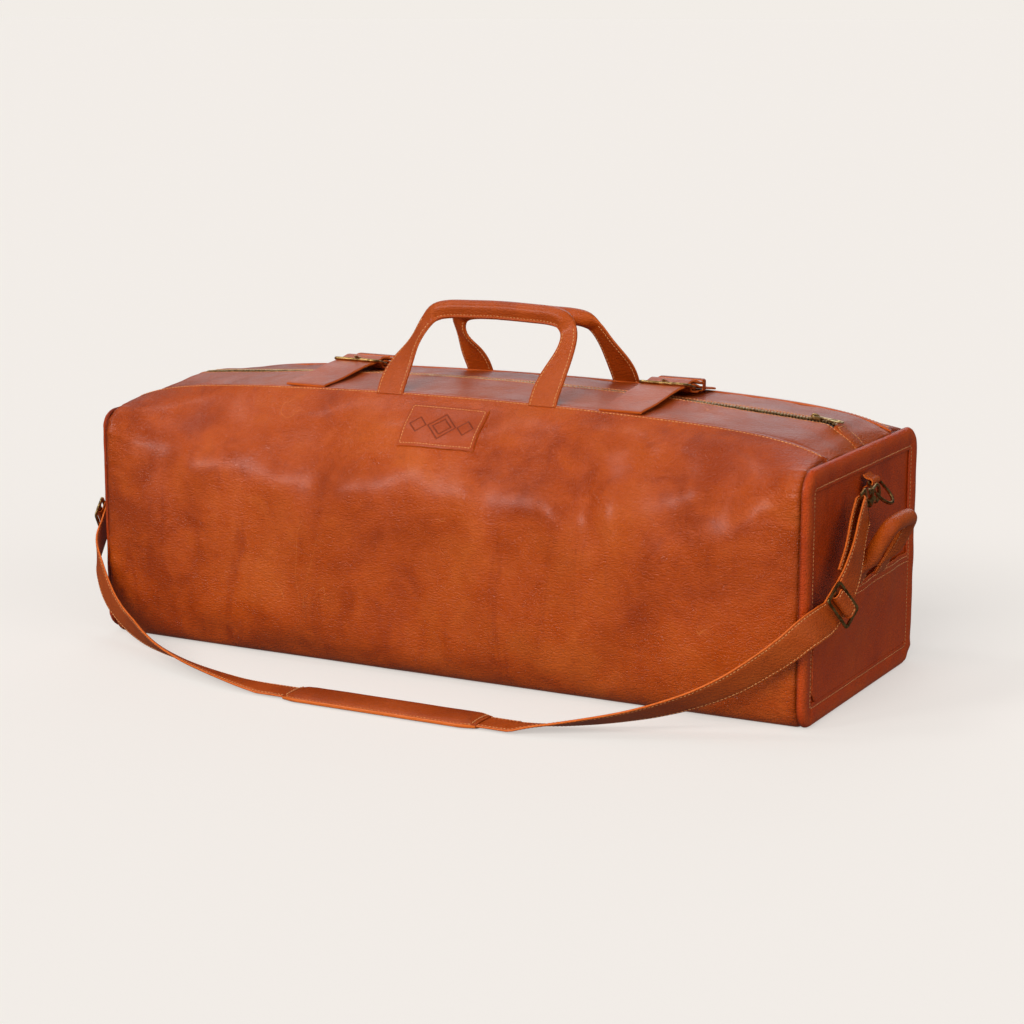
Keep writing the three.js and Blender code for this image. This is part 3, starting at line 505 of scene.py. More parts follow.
# Soft dents and swells of the front: where along the bag, how far down, depth, width and height.
DENTS = (
    (95, 0.52, -4.0, 25, 0.16), (140, 0.60, 3.2, 24, 0.22), (178, 0.56, -4.6, 22, 0.20),
    (222, 0.62, 3.6, 26, 0.18), (262, 0.80, -4.0, 34, 0.14), (330, 1.00, -2.8, 42, 0.22),
    (205, 0.86, -2.6, 26, 0.10), (300, 0.55, 2.6, 26, 0.16), (118, 0.84, -2.0, 22, 0.12),
    (-58, 0.40, -2.2, 46, 0.10), (20, 0.72, 1.8, 44, 0.20), (-205, 0.55, -2.6, 60, 0.20),
    (-330, 0.85, -2.2, 52, 0.24), (-120, 1.10, 1.8, 60, 0.22), (60, 1.25, -1.6, 80, 0.20),
)


def side_relief(x, t, side):
    """How far the leather stands out from, or in behind, the even shell."""
    seed = 11 if side < 0 else 41
    free = smooth(PANEL_END - np.abs(x), 0, 70) * smooth(t, 0.02, 0.3) * smooth(2 - t, 0.05, 0.5)
    broad = waves(x / 210, t / 0.95, seed) * 2.6 * free
    mid = waves(x / 74, t / 0.5, seed + 1) * 1.5 * free
    near_end = np.exp(-(PANEL_END - np.abs(x)) / 20) * smooth(t, 0.1, 0.4) * smooth(2 - t, 0.1, 0.5)
    puckers = waves(x / 60 + np.zeros_like(t), t / 0.085, seed + 2) * 0.7 * near_end
    near_top = np.exp(-np.maximum(t - 0.04, 0) / 0.10) * smooth(t, 0.03, 0.09)
    seam_pucker = waves(x / 17, t / 0.5, seed + 3) * 0.28 * near_top
    hollow = -3.2 * bump(x, 352, 40) * bump(t, 0.36, 0.22) - 3.2 * bump(x, -352, 44) * bump(t, 0.34, 0.2)
    corner = 7.5 * bump(np.abs(x), 419, 24) * bump(t, 0.48, 0.20)
    sag = 1.6 * bump(t, 1.35, 0.35) * (0.5 + 0.5 * waves(x / 260, 0 * t, seed + 4)) * free
    edge = np.clip(1 - (PANEL_END - np.abs(x)) / 6, 0, 1)
    tuck = -3.4 * (1 - np.sqrt(1 - edge**2 * 0.98))
    if side < 0:
        for at_x, at_t, depth, wide, tall in DENTS:
            broad = broad + depth * bump(x, at_x, wide) * bump(t, at_t, tall)
    return broad + mid + puckers + seam_pucker + hollow + corner + sag + tuck


def side_surface(x, t, side):
    base = side_point(x, t, side)
    step = 1e-3
    down = side_point(x, np.minimum(t + step, 2), side) - side_point(x, np.maximum(t - step, 0), side)
    along = side_point(np.asarray(x) + 0.5, t, side) - side_point(np.asarray(x) - 0.5, t, side)
    normal = unit(np.cross(along, down)) * side
    if np.mean(normal[..., 1]) * side < 0:
        normal = -normal
    return base + normal * side_relief(x, t, side)[..., None], normal


def dense_x():
    """Stations along the bag, close together near its ends."""
    middle = np.linspace(-400, 400, 190)
    ends = PANEL_END + 1.2 - np.array([0, 0.4, 1, 1.8, 2.8, 4, 5.4, 7.4, 10, 13, 17, 21])
    return np.concatenate([-ends, middle, ends[::-1]])


def build_side(side, name):
    xs = dense_x()
    ts = np.concatenate([np.linspace(0, 1, 75), np.linspace(1, 2, 46)[1:]])
    X, T = np.meshgrid(xs, ts, indexing="ij")
    grid, normal = side_surface(X, T, side)
    crease = SEAM_Y + 0.5
    lap_y = crease - np.array([3.6, 3.2, 2.2, 1.0])
    lap = np.stack([np.stack([xs, np.full_like(xs, side * y), seam_z(xs) + 0.7 + 0.03 * (crease - y)], -1)
                    for y in lap_y], 1)
    lift = 0.9 * np.exp(-T / 0.05)
    grid = grid + normal * lift[..., None]
    grid = np.concatenate([lap, grid], 1)
    # Painted shade: each side panel darkens over its last few millimetres at each end, where it tucks into
    # the end border.
    ends = -0.45 * np.exp(-(PANEL_END - np.abs(xs)) / 3.0)
    shade = np.repeat(ends[:, None], grid.shape[1], 1)
    panel = leather_sheet(name + "_panel_leather", grid, 2.6, BODY, (0, side, 0.3), shade, 0.7)
    place(panel, "bag", "leather_body", name + "_panel")
    # The seam's stitches run just below the folded edge.
    line_x = np.linspace(3 - PANEL_END, PANEL_END - 3, 420)
    points, n = side_surface(line_x, np.full_like(line_x, 0.012), side)
    stitch("bag", points + n * 0.75, n)


for side, name in ((-1, "front"), (1, "back")):
    build_side(side, name)


def build_base():
    xs = np.linspace(-PANEL_END, PANEL_END, 120)
    ys = np.linspace(-BASE_HALF + 1, BASE_HALF - 1, 50)
    X, Y = np.meshgrid(xs, ys, indexing="ij")
    rest = 0.35 * (1 + waves(X / 120, Y / 90, 71)) * 0.8
    grid = np.stack([X, Y, rest], -1)
    # Painted shade: the base's downward outer face is darkened all over (tone -0.25).
    base = leather_sheet("base_leather", grid, 2.4, END, (0, 0, -1), -0.25 * np.ones_like(X), 0.2)
    place(base, "bag", "leather_end", "base_panel")


build_base()


# ---------- sleeves, bands and flat brass parts ----------
def sleeve(name, centres, across, out, outer, inner, material, tone=None):
    """A sleeve with a hole through it, from two sections of the same number of points."""
    rings = []
    for section in (outer, inner):
        section = np.asarray(section, float)
        if section.ndim == 2:
            section = np.repeat(section[None], len(centres), axis=0)
        rings.append(centres[:, None] + section[..., :1] * across[:, None] + section[..., 1:] * out[:, None])
    count, size = rings[0].shape[:2]
    half = count * size
    faces = grid_faces(count, size, wrap=True) + grid_faces(count, size, wrap=True, start=half, flip=True)
    for j in range(size):
        k = (j + 1) % size
        last = (count - 1) * size
        faces.append([k, j, half + j, half + k])
        faces.append([last + j, last + k, half + last + k, half + last + j])
    points = np.concatenate([rings[0].reshape(-1, 3), rings[1].reshape(-1, 3)])
    # Painted shade: the sleeve's inside face, round its hole, is darkened all over (tone -0.5).
    shade = None if tone is None else np.concatenate([np.tile(tone, count), np.full(half, -0.5)])
    return make(name, points, faces, material, shade)


def strap_section(width, thickness, groove=2.8, both=False):
    """A strap's section: rounded cut edges and a groove for each row of stitches."""
    half, top = width / 2, thickness / 2
    face = [(half - 0.15, top * 0.45), (half - 0.55, top * 0.85), (half - 1.2, top),
            (half - groove + 0.8, top), (half - groove, top - 0.32), (half - groove - 0.9, top + 0.05),
            (half * 0.55, top + 0.12), (0.0, top + 0.16)]
    right = face[:-1]
    upper = right + [face[-1]] + [(-a, b) for a, b in right[::-1]]
    if both:
        lower = [(-a, -b) for a, b in upper]
    else:
        back = [(half - 0.15, -top * 0.45), (half - 0.8, -top), (half * 0.5, -top), (0, -top)]
        lower = [(-a, b) for a, b in back] + [(a, b) for a, b in back[-2::-1]]
    return np.array([(half, 0)] + upper + [(-half, 0)] + lower)


def edge_tones(section, width):
    return np.where(np.abs(section[:, 0]) > width / 2 - 0.5, 1.0, 0.0)


def strap(name, points, hint, width, thickness, material, tip=(0, 0), both=False, key=None,
          groove=2.8, cover=(0.0, 1.0), widths=None):
    """A strap along points; hint points from its first edge to its second. tip rounds its ends."""
    points = np.asarray(points, float)
    _, across, out = frames_along(points, hint)
    along = np.concatenate([[0], np.cumsum(np.linalg.norm(np.diff(points, axis=0), axis=1))])
    scale = np.ones(len(points)) if widths is None else np.asarray(widths) / width
    for distance, radius in ((along, tip[0]), (along[-1] - along, tip[1])):
        if radius:
            near = np.clip(1 - distance / radius, 0, 0.985)
            scale = scale * np.sqrt(1 - near**2.6)
    section = strap_section(width, thickness, groove, both)
    sections = np.repeat(section[None], len(points), 0)
    sections[..., 0] *= scale[:, None]
    obj = loft(name, points, across, out, sections, material, edge_tones(section, width))
    if key:
        inside = (along >= cover[0] * along[-1]) & (along <= cover[1] * along[-1])
        for sign in (-1, 1):
            reach = sign * (width / 2 * scale - groove)
            line = points + across * reach[:, None] + out * (thickness / 2 - 0.25)
            stitch(key, line[inside], out[inside])
            if both:
                line = points + across * reach[:, None] - out * (thickness / 2 - 0.25)
                stitch(key, line[inside], -out[inside])
    return obj


def rounded_rectangle(half_a, half_b, radius, count=8):
    points = []
    for sa, sb, start in ((1, 1, 0), (-1, 1, 90), (-1, -1, 180), (1, -1, 270)):
        for k in range(count + 1):
            angle = math.radians(start + 90 * k / count)
            points.append((sa * (half_a - radius) + radius * math.cos(angle),
                           sb * (half_b - radius) + radius * math.sin(angle)))
    return np.array(points)


def flat_part(name, loops, thickness, round_edge, origin, x_axis, y_axis, material):
    """A flat brass part: a filled outline with holes, with softened edges, in its own plane."""
    curve = bpy.data.curves.new(name, "CURVE")
    curve.dimensions = "2D"
    curve.fill_mode = "BOTH"
    curve.extrude = (thickness / 2 - round_edge) * MM
    curve.bevel_depth = round_edge * MM
    curve.bevel_resolution = 2
    curve.offset = -round_edge * MM
    for loop in loops:
        spline_ = curve.splines.new("POLY")
        spline_.points.add(len(loop) - 1)
        for point, (a, b) in zip(spline_.points, loop):
            point.co = (a * MM, b * MM, 0, 1)
        spline_.use_cyclic_u = True
    obj = bpy.data.objects.new(name, curve)
    bpy.context.scene.collection.objects.link(obj)
    bpy.ops.object.select_all(action="DESELECT")
    obj.select_set(True)
    bpy.context.view_layer.objects.active = obj
    bpy.ops.object.convert(target="MESH")
    obj = bpy.context.view_layer.objects.active
    mesh = obj.data
    x_axis, y_axis = unit(np.asarray(x_axis, float)), unit(np.asarray(y_axis, float))
    z_axis = np.cross(x_axis, y_axis)
    co = np.array([v.co for v in mesh.vertices])
    co = co[:, :1] * x_axis + co[:, 1:2] * y_axis + co[:, 2:] * z_axis + np.asarray(origin, float) * MM
    mesh.vertices.foreach_set("co", co.ravel())
    mesh.materials.clear()
    mesh.materials.append(material)
    bpy.ops.object.mode_set(mode="EDIT")
    bpy.ops.mesh.select_all(action="SELECT")
    bpy.ops.mesh.remove_doubles(threshold=1e-6)
    bpy.ops.mesh.normals_make_consistent(inside=False)
    bpy.ops.object.mode_set(mode="OBJECT")
    mesh.shade_smooth()
    mesh.set_sharp_from_angle(angle=math.radians(35))
    return obj


def ring_path(centre, a_axis, b_axis, loop):
    a_axis, b_axis = unit(np.asarray(a_axis, float)), unit(np.asarray(b_axis, float))
    return np.asarray(centre, float) + loop[:, :1] * a_axis + loop[:, 1:] * b_axis


# ---------- ends ----------
def end_outline(per_corner=14, radius=26.0):
    """Points (y, z) round an end and the direction inwards at each."""
    half, mid, reach = END_DEPTH, HEIGHT_AT_END / 2, HEIGHT_AT_END / 2
    points, inward = [], []
    for sy, sz, start in ((1, 1, 0), (-1, 1, 90), (-1, -1, 180), (1, -1, 270)):
        for k in range(per_corner + 1):
            angle = math.radians(start + 90 * k / per_corner)
            c, s = math.cos(angle), math.sin(angle)
            points.append((sy * (half - radius) + radius * c, mid + sz * (reach - radius) + radius * s))
            inward.append((-c, -s))
    dense_p, dense_n = [], []
    for i in range(len(points)):
        j = (i + 1) % len(points)
        gap = math.dist(points[i], points[j])
        parts = max(1, int(gap / 6))
        for k in range(parts):
            dense_p.append(mix(np.array(points[i]), np.array(points[j]), k / parts))
            dense_n.append(mix(np.array(inward[i]), np.array(inward[j]), k / parts))
    return np.array(dense_p), unit(np.array(dense_n))


BORDER_SECTION = [(1.4, 425.0), (0.5, 425.6), (0.1, 427.0), (0.4, 428.8), (1.5, 430.8), (3.2, 432.2),
                  (5.6, 433.1), (9.0, 433.5), (13.0, 433.3), (16.5, 432.9), (18.6, 432.5), (20.2, 431.9),
                  (21.4, 432.3), (23.2, 432.2), (24.6, 431.7), (25.1, 430.9), (24.9, 429.9), (24.0, 428.2),
                  (12.0, 427.6), (4.0, 427.0)]


def overlay_top(y):
    return 122 + 8 * smooth(y, -140, 40) - 3 * smooth(y, 60, 139)


def overlay_out(y, z):
    """How far the lower overlay stands off; its open top edge bows out under the handle."""
    rise = smooth(z, 40, 124)
    bow = 6.0 * rise * smooth(np.asarray(y) + 139, 10, 90) * smooth(139 - np.asarray(y), 10, 80)
    return 433.0 + bow + 0.5 * waves(np.asarray(y) / 60, np.asarray(z) / 50, 61) * rise


def build_end(s, end):
    outline, inward = end_outline()
    count = len(outline)
    centres = np.stack([np.zeros(count), outline[:, 0], outline[:, 1]], 1)
    across = np.stack([np.zeros(count), inward[:, 0], inward[:, 1]], 1)
    out = np.tile([float(s), 0, 0], (count, 1))
    sections = np.repeat(np.array(BORDER_SECTION)[None], count, 0)
    arc = np.linspace(0, 2 * math.pi, count, endpoint=False)
    swell = waves(np.cos(arc) * 6, np.sin(arc) * 6, 51 if s > 0 else 52)
    sections[:, 5:11, 1] += 0.35 * swell[:, None]
    if s < 0:
        sections[:, :8, 0] += 4.2 * smooth(9 - sections[:, :8, 0], 0, 6)
    # One value per BORDER_SECTION point. The negative values are painted shade: in the crease where the roll
    # meets the side panel, in its stitch groove and on its inner face behind the end panel. The small
    # positive values on the crest are lighter wear.
    tone = [-0.9, -0.7, -0.3, 0, 0, 0.1, 0.12, 0.1, 0, 0, 0, -0.15, -0.1, 0, 0, -0.2, -0.6, -0.8, -0.5, -0.8]
    border = loft("end_border_roll_" + end, centres, across, out, sections, END, tone, closed=True)
    place(border, "bag", "leather_body", "end_border_" + end)
    line = centres + across * 20.4 + out * 431.95
    stitch("bag", np.concatenate([line, line[:1]]), np.concatenate([out, out[:1]]))
    ys, zs = np.linspace(-140.5, 140.5, 80), np.linspace(23.5, 242.5, 64)
    Y, Z = np.meshgrid(ys, zs, indexing="ij")
    pillow = 0.9 * np.sqrt(np.clip(1 - (Y / 141) ** 6, 0, 1)) + 0.35 * waves(Y / 80, Z / 60, 55)
    grid = np.stack([s * (429.2 + pillow), Y, Z], -1)
    panel = leather_sheet("end_panel_leather_" + end, grid, 2.2, END, (s, 0, 0))
    place(panel, "bag", "leather_end", "end_panel_" + end)
    grid = []
    for y in np.linspace(-139, 139, 90):
        low = 26 + 9 * smooth(abs(y), 128, 139) ** 2
        zs = low + (overlay_top(y) - low) * np.linspace(0, 1, 40) ** 0.9
        grid.append([[s * overlay_out(y, z), y, z] for z in zs])
    overlay = leather_sheet("end_overlay_leather_" + end, np.array(grid), 2.2, END, (s, 0, 0), None, 0.6)
    place(overlay, "bag", "leather_end", "end_overlay_" + end)
    for drop in (3.2, 9.4):
        ys = np.linspace(-137, 137, 80)
        line = [[s * (overlay_out(y, overlay_top(y) - drop) + 0.05), y, overlay_top(y) - drop] for y in ys]
        stitch("bag", line, np.tile([float(s), 0, 0], (80, 1)))


# ---------- the top and its zip ----------
FLAP_IN, FLAP_OUT = 8.6, 95.6
TOP_STITCH_Y = 12.6
TOOTH_PITCH, TEETH_EACH_WAY = 3.6, 112
SLIDER_X = 376.0


def strip_z(x, y, side=1):
    """The height of a top panel. The front one's zip edge stands up and hides the teeth."""
    sag = -1.0 * bump(np.abs(y), 52, 26) * (0.6 + 0.5 * waves(x / 150, y / 90, 81))
    ripple = 0.45 * waves(x / 46, np.abs(y) / 70, 82) * smooth(np.abs(y), 14, 40)
    under = -1.5 * smooth(np.abs(y), 88, 94)
    near_zip = 0.25 * waves(x / 15, y * 0, 83) * np.exp(-(np.abs(y) - FLAP_IN) / 6)
    lip = 3.0 * (1 - smooth(np.abs(x), 215, 320)) * np.exp(-(np.abs(y) - FLAP_IN) / 16) if side < 0 else 0.0
    shut = 4.5 * smooth(np.abs(x), 402, 422) * (1 - smooth(np.abs(y), 60, 94))
    edge = 0.6 * np.exp(-(np.abs(y) - FLAP_IN) / 1.2)
    return top_z(x, y) + sag + ripple + under + near_zip + lip + shut - edge


def mouth_rider():
    """Pieces at an end of the mouth: their placement is baked into their mesh, and they ride on no body."""
    def rider(obj):
        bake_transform(obj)
    return rider


def tooth_block(x, y0, y1, z):
    """The eight corners of one tooth, its head slightly wider than its foot."""
    corners = []
    for y, wide in ((y0, 0.95), (y1, 0.8)):
        for dx, dz in ((-wide, -1.1), (wide, -1.1), (wide * 0.8, 0.75), (-wide * 0.8, 0.75)):
            corners.append((x + dx, y, z + dz))
    return corners


TOOTH_FACES = [[0, 1, 2, 3], [7, 6, 5, 4], [0, 4, 5, 1], [1, 5, 6, 2], [2, 6, 7, 3], [3, 7, 4, 0]]


def build_teeth(name, xs, side):
    points, faces = [], []
    for x in xs:
        start = len(points)
        points += tooth_block(x, side * 4.6, -side * 0.9, float(zip_z(x)) + 0.3)
        faces += [[start + v for v in face] for face in TOOTH_FACES]
    obj = make(name, points, faces, BRIGHT)
    obj.modifiers.new("soft", "BEVEL").width = 0.25 * MM
    return obj


def apply_modifiers(obj):
    bpy.ops.object.select_all(action="DESELECT")
    obj.select_set(True)
    bpy.context.view_layer.objects.active = obj
    bpy.ops.object.convert(target="MESH")


def build_top():
    for side, name in ((-1, "front"), (1, "back")):
        for part, low, high in (("middle", -STRAP_X, STRAP_X), ("right", STRAP_X, PANEL_END + 2.0),
                                ("left", -PANEL_END - 2.0, -STRAP_X)):
            s = {"middle": 0, "right": 1, "left": -1}[part]
            key = f"mouth_{name}_{part}"
            riders[key] = mouth_rider() if s else (lambda obj, n=name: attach(obj, "mouth_" + n))
            xs = np.linspace(low, high, int((high - low) / 3.4))
            vs = np.array([0, 0.006, 0.015, 0.03, *np.linspace(0.05, 1, 30)])
            X, V = np.meshgrid(xs, vs, indexing="ij")
            Y = mix(FLAP_IN, FLAP_OUT, V)
            grid = np.stack([X, side * Y, strip_z(X, Y, side)], -1)
            # Painted shade: each top strip darkens over its outer few millimetres, where it turns down into
            # the seam with the side panel.
            tone = -0.55 * np.exp(-(FLAP_OUT - Y) / 2.5)
            strip = leather_sheet(f"top_{name}_{part}", grid, 2.4, TOP, (0, 0, 1), tone, 0.5)
            shift = 0.5 * TOOTH_PITCH if side > 0 else 0
            teeth_xs = [k * TOOTH_PITCH + shift for k in range(-TEETH_EACH_WAY, TEETH_EACH_WAY)]
            inside = [x for x in teeth_xs if low <= x < min(high, ZIP_END) and x > -ZIP_END]
            teeth = build_teeth(f"zip_teeth_{name}_{part}", inside, side)
            apply_modifiers(teeth)
            tape_xs = np.linspace(max(low, -ZIP_END), min(high, ZIP_END), len(xs))
            tape_ys = np.linspace(3.6, 11.5, 7)
            TX, TY = np.meshgrid(tape_xs, tape_ys, indexing="ij")
            tape_grid = np.stack([TX, side * TY, zip_z(TX) - 1.5 - 0.02 * TY], -1)
            tape = leather_sheet(f"zip_tape_{name}_{part}", tape_grid, 0.8, TAPE, (0, 0, 1), None, 0)
            nodes = {"middle": [["top_panel_" + name], ["zip_teeth_" + name], ["zip_tape_" + name]],
                     "right": [["top_end_right"], ["zip_end_right"], ["zip_end_right"]],
                     "left": [["top_end_left"], ["zip_end_left"], ["zip_end_left"]]}[part]
            for obj, slot, stood in zip((strip, teeth, tape), ("leather_body", "bright_brass", "zip_tape"),
                                        nodes):
                riders[key](obj)
                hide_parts(*stood)
            line = [[x, side * TOP_STITCH_Y, strip_z(x, TOP_STITCH_Y, side) + 0.1] for x in xs]
            stitch(key, line, np.tile([0, 0, 1.0], (len(xs), 1)))
    for s, end in ((1, "right"), (-1, "left")):
        xs, ys = np.linspace(ZIP_END - 1, PANEL_END + 1.8, 22), np.linspace(-11, 11, 16)
        X, Y = np.meshgrid(xs, ys, indexing="ij")
        crown = 3.4 - 1.6 * np.abs(Y / 11) ** 3 + 3.2 * smooth(X, 404, 423)
        grid = np.stack([s * X, Y, zip_z(X) + crown], -1)
        tab = leather_sheet("zip_end_tab_" + end, grid, 2.2, TOP, (0, 0, 1), None, 0.15)
        place(tab, "bag", "leather_strap", "zip_tab_" + end)
        line = [[s * x, y, float(zip_z(x)) + 3.2] for x, y in
                [(420, -8.2), (404, -8.2), (404, 8.2), (420, 8.2)]]
        stitch("bag", line, np.tile([0, 0, 1.0], (4, 1)), 3.4)


def build_slider():
    angle = math.asin(SLIDER_X / ZIP_RADIUS)
    along = np.array([math.cos(angle), 0, -math.sin(angle)])
    up = np.array([math.sin(angle), 0, math.cos(angle)])
    side = np.array([0, 1.0, 0])
    seat = np.array([0, 0, ZIP_Z - ZIP_RADIUS]) + up * ZIP_RADIUS
    wedge = [(7, -3.4), (7.4, 0), (7, 3.4), (3, 4.6), (-3, 6.0), (-6.2, 6.0), (-7.4, 4.2), (-6.4, 1.2),
             (-6.4, -1.2), (-7.4, -4.2), (-6.2, -6.0), (-3, -6.0), (3, -4.6)]
    wedge = spline(wedge, 44, closed=True)
    top = flat_part("slider_top", [wedge], 1.9, 0.5, seat + up * 1.5, along, side, BRASS)
    under = flat_part("slider_under", [wedge], 1.7, 0.4, seat - up * 4.2, along, side, BRASS)
    arch = spline([(-5, 2.0), (-4.4, 4.6), (-1.2, 5.6), (2.4, 4.6), (3.4, 2.0)], 18)
    bridge = wire("slider_bridge", [seat + along * a + up * b for a, b in arch], 1.0, BRASS, hint=(0, 1, 0))
    slider = joined("zip_slider_brass", top, under, bridge)
    place(slider, "zip_slider", "antique_brass", "zip_slider")
    pin = seat - along * 1.2 + up * 3.6
    edge = [(-1.4, 3.3), (4, 3.0), (9, 2.2), (15, 3.1), (24, 4.2), (30.5, 3.8)]
    outer = [(-2.6, 0)] + edge + [(32, 0)] + [(a, -b) for a, b in edge[::-1]]
    outer = spline(outer, 70, closed=True)
    hole = spline([(-0.8, 0), (0.6, 1.7), (4, 1.4), (5.2, 0), (4, -1.4), (0.6, -1.7)], 24, closed=True)
    slot = spline([(18, 0), (19.5, 1.7), (27, 2.1), (29, 0), (27, -2.1), (19.5, -1.7)], 30, closed=True)
    tilt = math.radians(4)
    pull_along = along * math.cos(tilt) - up * math.sin(tilt)
    pull = flat_part("zip_pull_brass", [outer, hole, slot], 1.8, 0.5, pin, pull_along, side, BRIGHT)
    place(pull, "zip_pull", "bright_brass", "zip_pull")


# ---------- buckled top straps ----------
def build_top_strap(x, end):
    route = [(-96.4, 299.0), (-90, 300.2), (-60, 302.8), (-20, 308.8), (2, 311.2), (13, 311.6), (24, 313.9),
             (34, 315.5), (44, 313.6), (60, 310.1), (79, 306.9)]
    points = [(x, y, z) for y, z in spline(route, 70)]
    front = strap("top_strap_front_leather_" + end, points, (1, 0, 0), STRAP_WIDTH, 2.8, STRAP,
                  tip=(0, 16), key="bag")
    place(front, "bag", "leather_strap", "top_strap_front_" + end)
    bar_y, bar_z = 34.0, 307.8
    fold = [(bar_y + 3.9 * math.cos(a), bar_z + 3.9 * math.sin(a))
            for a in np.linspace(math.pi / 2, 1.5 * math.pi, 8)]
    back_route = [(96.6, 299.0), (90, 300.2), (80, 301.6), (60, 305.0), (44, 309.8)] + fold
    back_route += [(42, 302.6), (50, 301.9)]
    points = [(x, y, z) for y, z in spline(back_route, 70)]
    back = strap("top_strap_back_leather_" + end, points, (1, 0, 0), STRAP_WIDTH, 2.4, STRAP,
                 key="bag", cover=(0, 0.42))
    place(back, "bag", "leather_strap", "top_strap_back_" + end)
    loop = rounded_rectangle(26.9, 5.9, 2.4, 5)
    path = ring_path((x, 60, 307.8), (1, 0, 0), (0, 0, 1), loop)
    outwards = unit(np.stack([loop[:, 0] * 0.2, np.zeros(len(loop)), loop[:, 1] * 3], 1))
    across = np.tile([0, 1.0, 0], (len(path), 1))
    section = strap_section(9, 1.7, 1.6)
    keeper = loft("strap_keeper_leather_" + end, path, across, outwards, section, STRAP,
                  edge_tones(section, 9), closed=True)
    place(keeper, "bag", "leather_strap", "strap_keeper_" + end)
    front_bar = np.array([x, 10.5, 314.7])
    rear_bar = np.array([x, bar_y, bar_z])
    middle, slope = (front_bar + rear_bar) / 2, unit(front_bar - rear_bar)
    reach = np.linalg.norm(front_bar - rear_bar)
    path = ring_path(middle, (1, 0, 0), slope, rounded_rectangle(28.75, reach / 2, 4.6, 7))
    flat = np.cross((1, 0, 0), slope)
    buckle = wire("buckle_frame_brass_" + end, path, 1.85, BRASS, closed=True, hint=flat)
    place(buckle, f"buckle_frame_{end}", "antique_brass", f"buckle_frame_{end}")
    lift = unit(np.cross(slope, (1, 0, 0)))
    lift = lift if lift[2] > 0 else -lift
    eye = [rear_bar + 3.1 * (math.cos(a) * slope + math.sin(a) * lift) for a in np.linspace(-2.8, 1.5, 14)]
    shank = [rear_bar + slope * d + lift * h for d, h in
             ((3, 3.4), (8, 3.3), (15, 3.2), (21, 3.2), (reach - 1, 3.3), (reach + 1.6, 3.0))]
    prong = wire("buckle_prong_brass_" + end, spline(eye + shank, 46), 1.25, BRIGHT, hint=(1, 0, 0))
    place(prong, f"buckle_prong_{end}", "bright_brass", f"buckle_prong_{end}")


# ---------- handles ----------
HANDLE_RINGS, ROLL_POINTS = 96, 36
HANDLE_ROUTE = [(-1, -0.06), (-1.0, 0.3), (-0.985, 0.6), (-0.94, 0.81), (-0.84, 0.935), (-0.68, 0.985),
                (-0.4, 1.0), (0, 1.01)]


def roll_section(width, thick, radius, centre, flange, amount):
    """A flat strap's section (amount 0) that closes into a rolled grip with a stitched flange (1)."""
    flat = []
    half, h = width / 2, thick / 2
    for k in range(ROLL_POINTS):
        angle = 2 * math.pi * (k + 0.5) / ROLL_POINTS
        c, s = math.cos(angle), math.sin(angle)
        reach = (abs(c) ** 7 + abs(s) ** 7) ** (-1 / 7)
        flat.append((half * reach * c, h * reach * s))
    rolled = []
    for k in range(ROLL_POINTS):
        angle = 2 * math.pi * (k + 0.5) / ROLL_POINTS
        if math.cos(angle) > -0.62:
            rolled.append((centre + radius * math.cos(angle), radius * math.sin(angle)))
        else:
            depth = (-math.cos(angle) - 0.62) / 0.38
            foot = centre - radius * 0.72
            sign = 1 if math.sin(angle) >= 0 else -1
            rolled.append((mix(foot, foot - flange, min(1, depth * 1.25)),
                           sign * mix(radius * 0.62, h, min(1, depth * 2.2)) * (1 if depth < 0.97 else 0.4)))
    return mix(np.array(flat), np.array(rolled), amount)


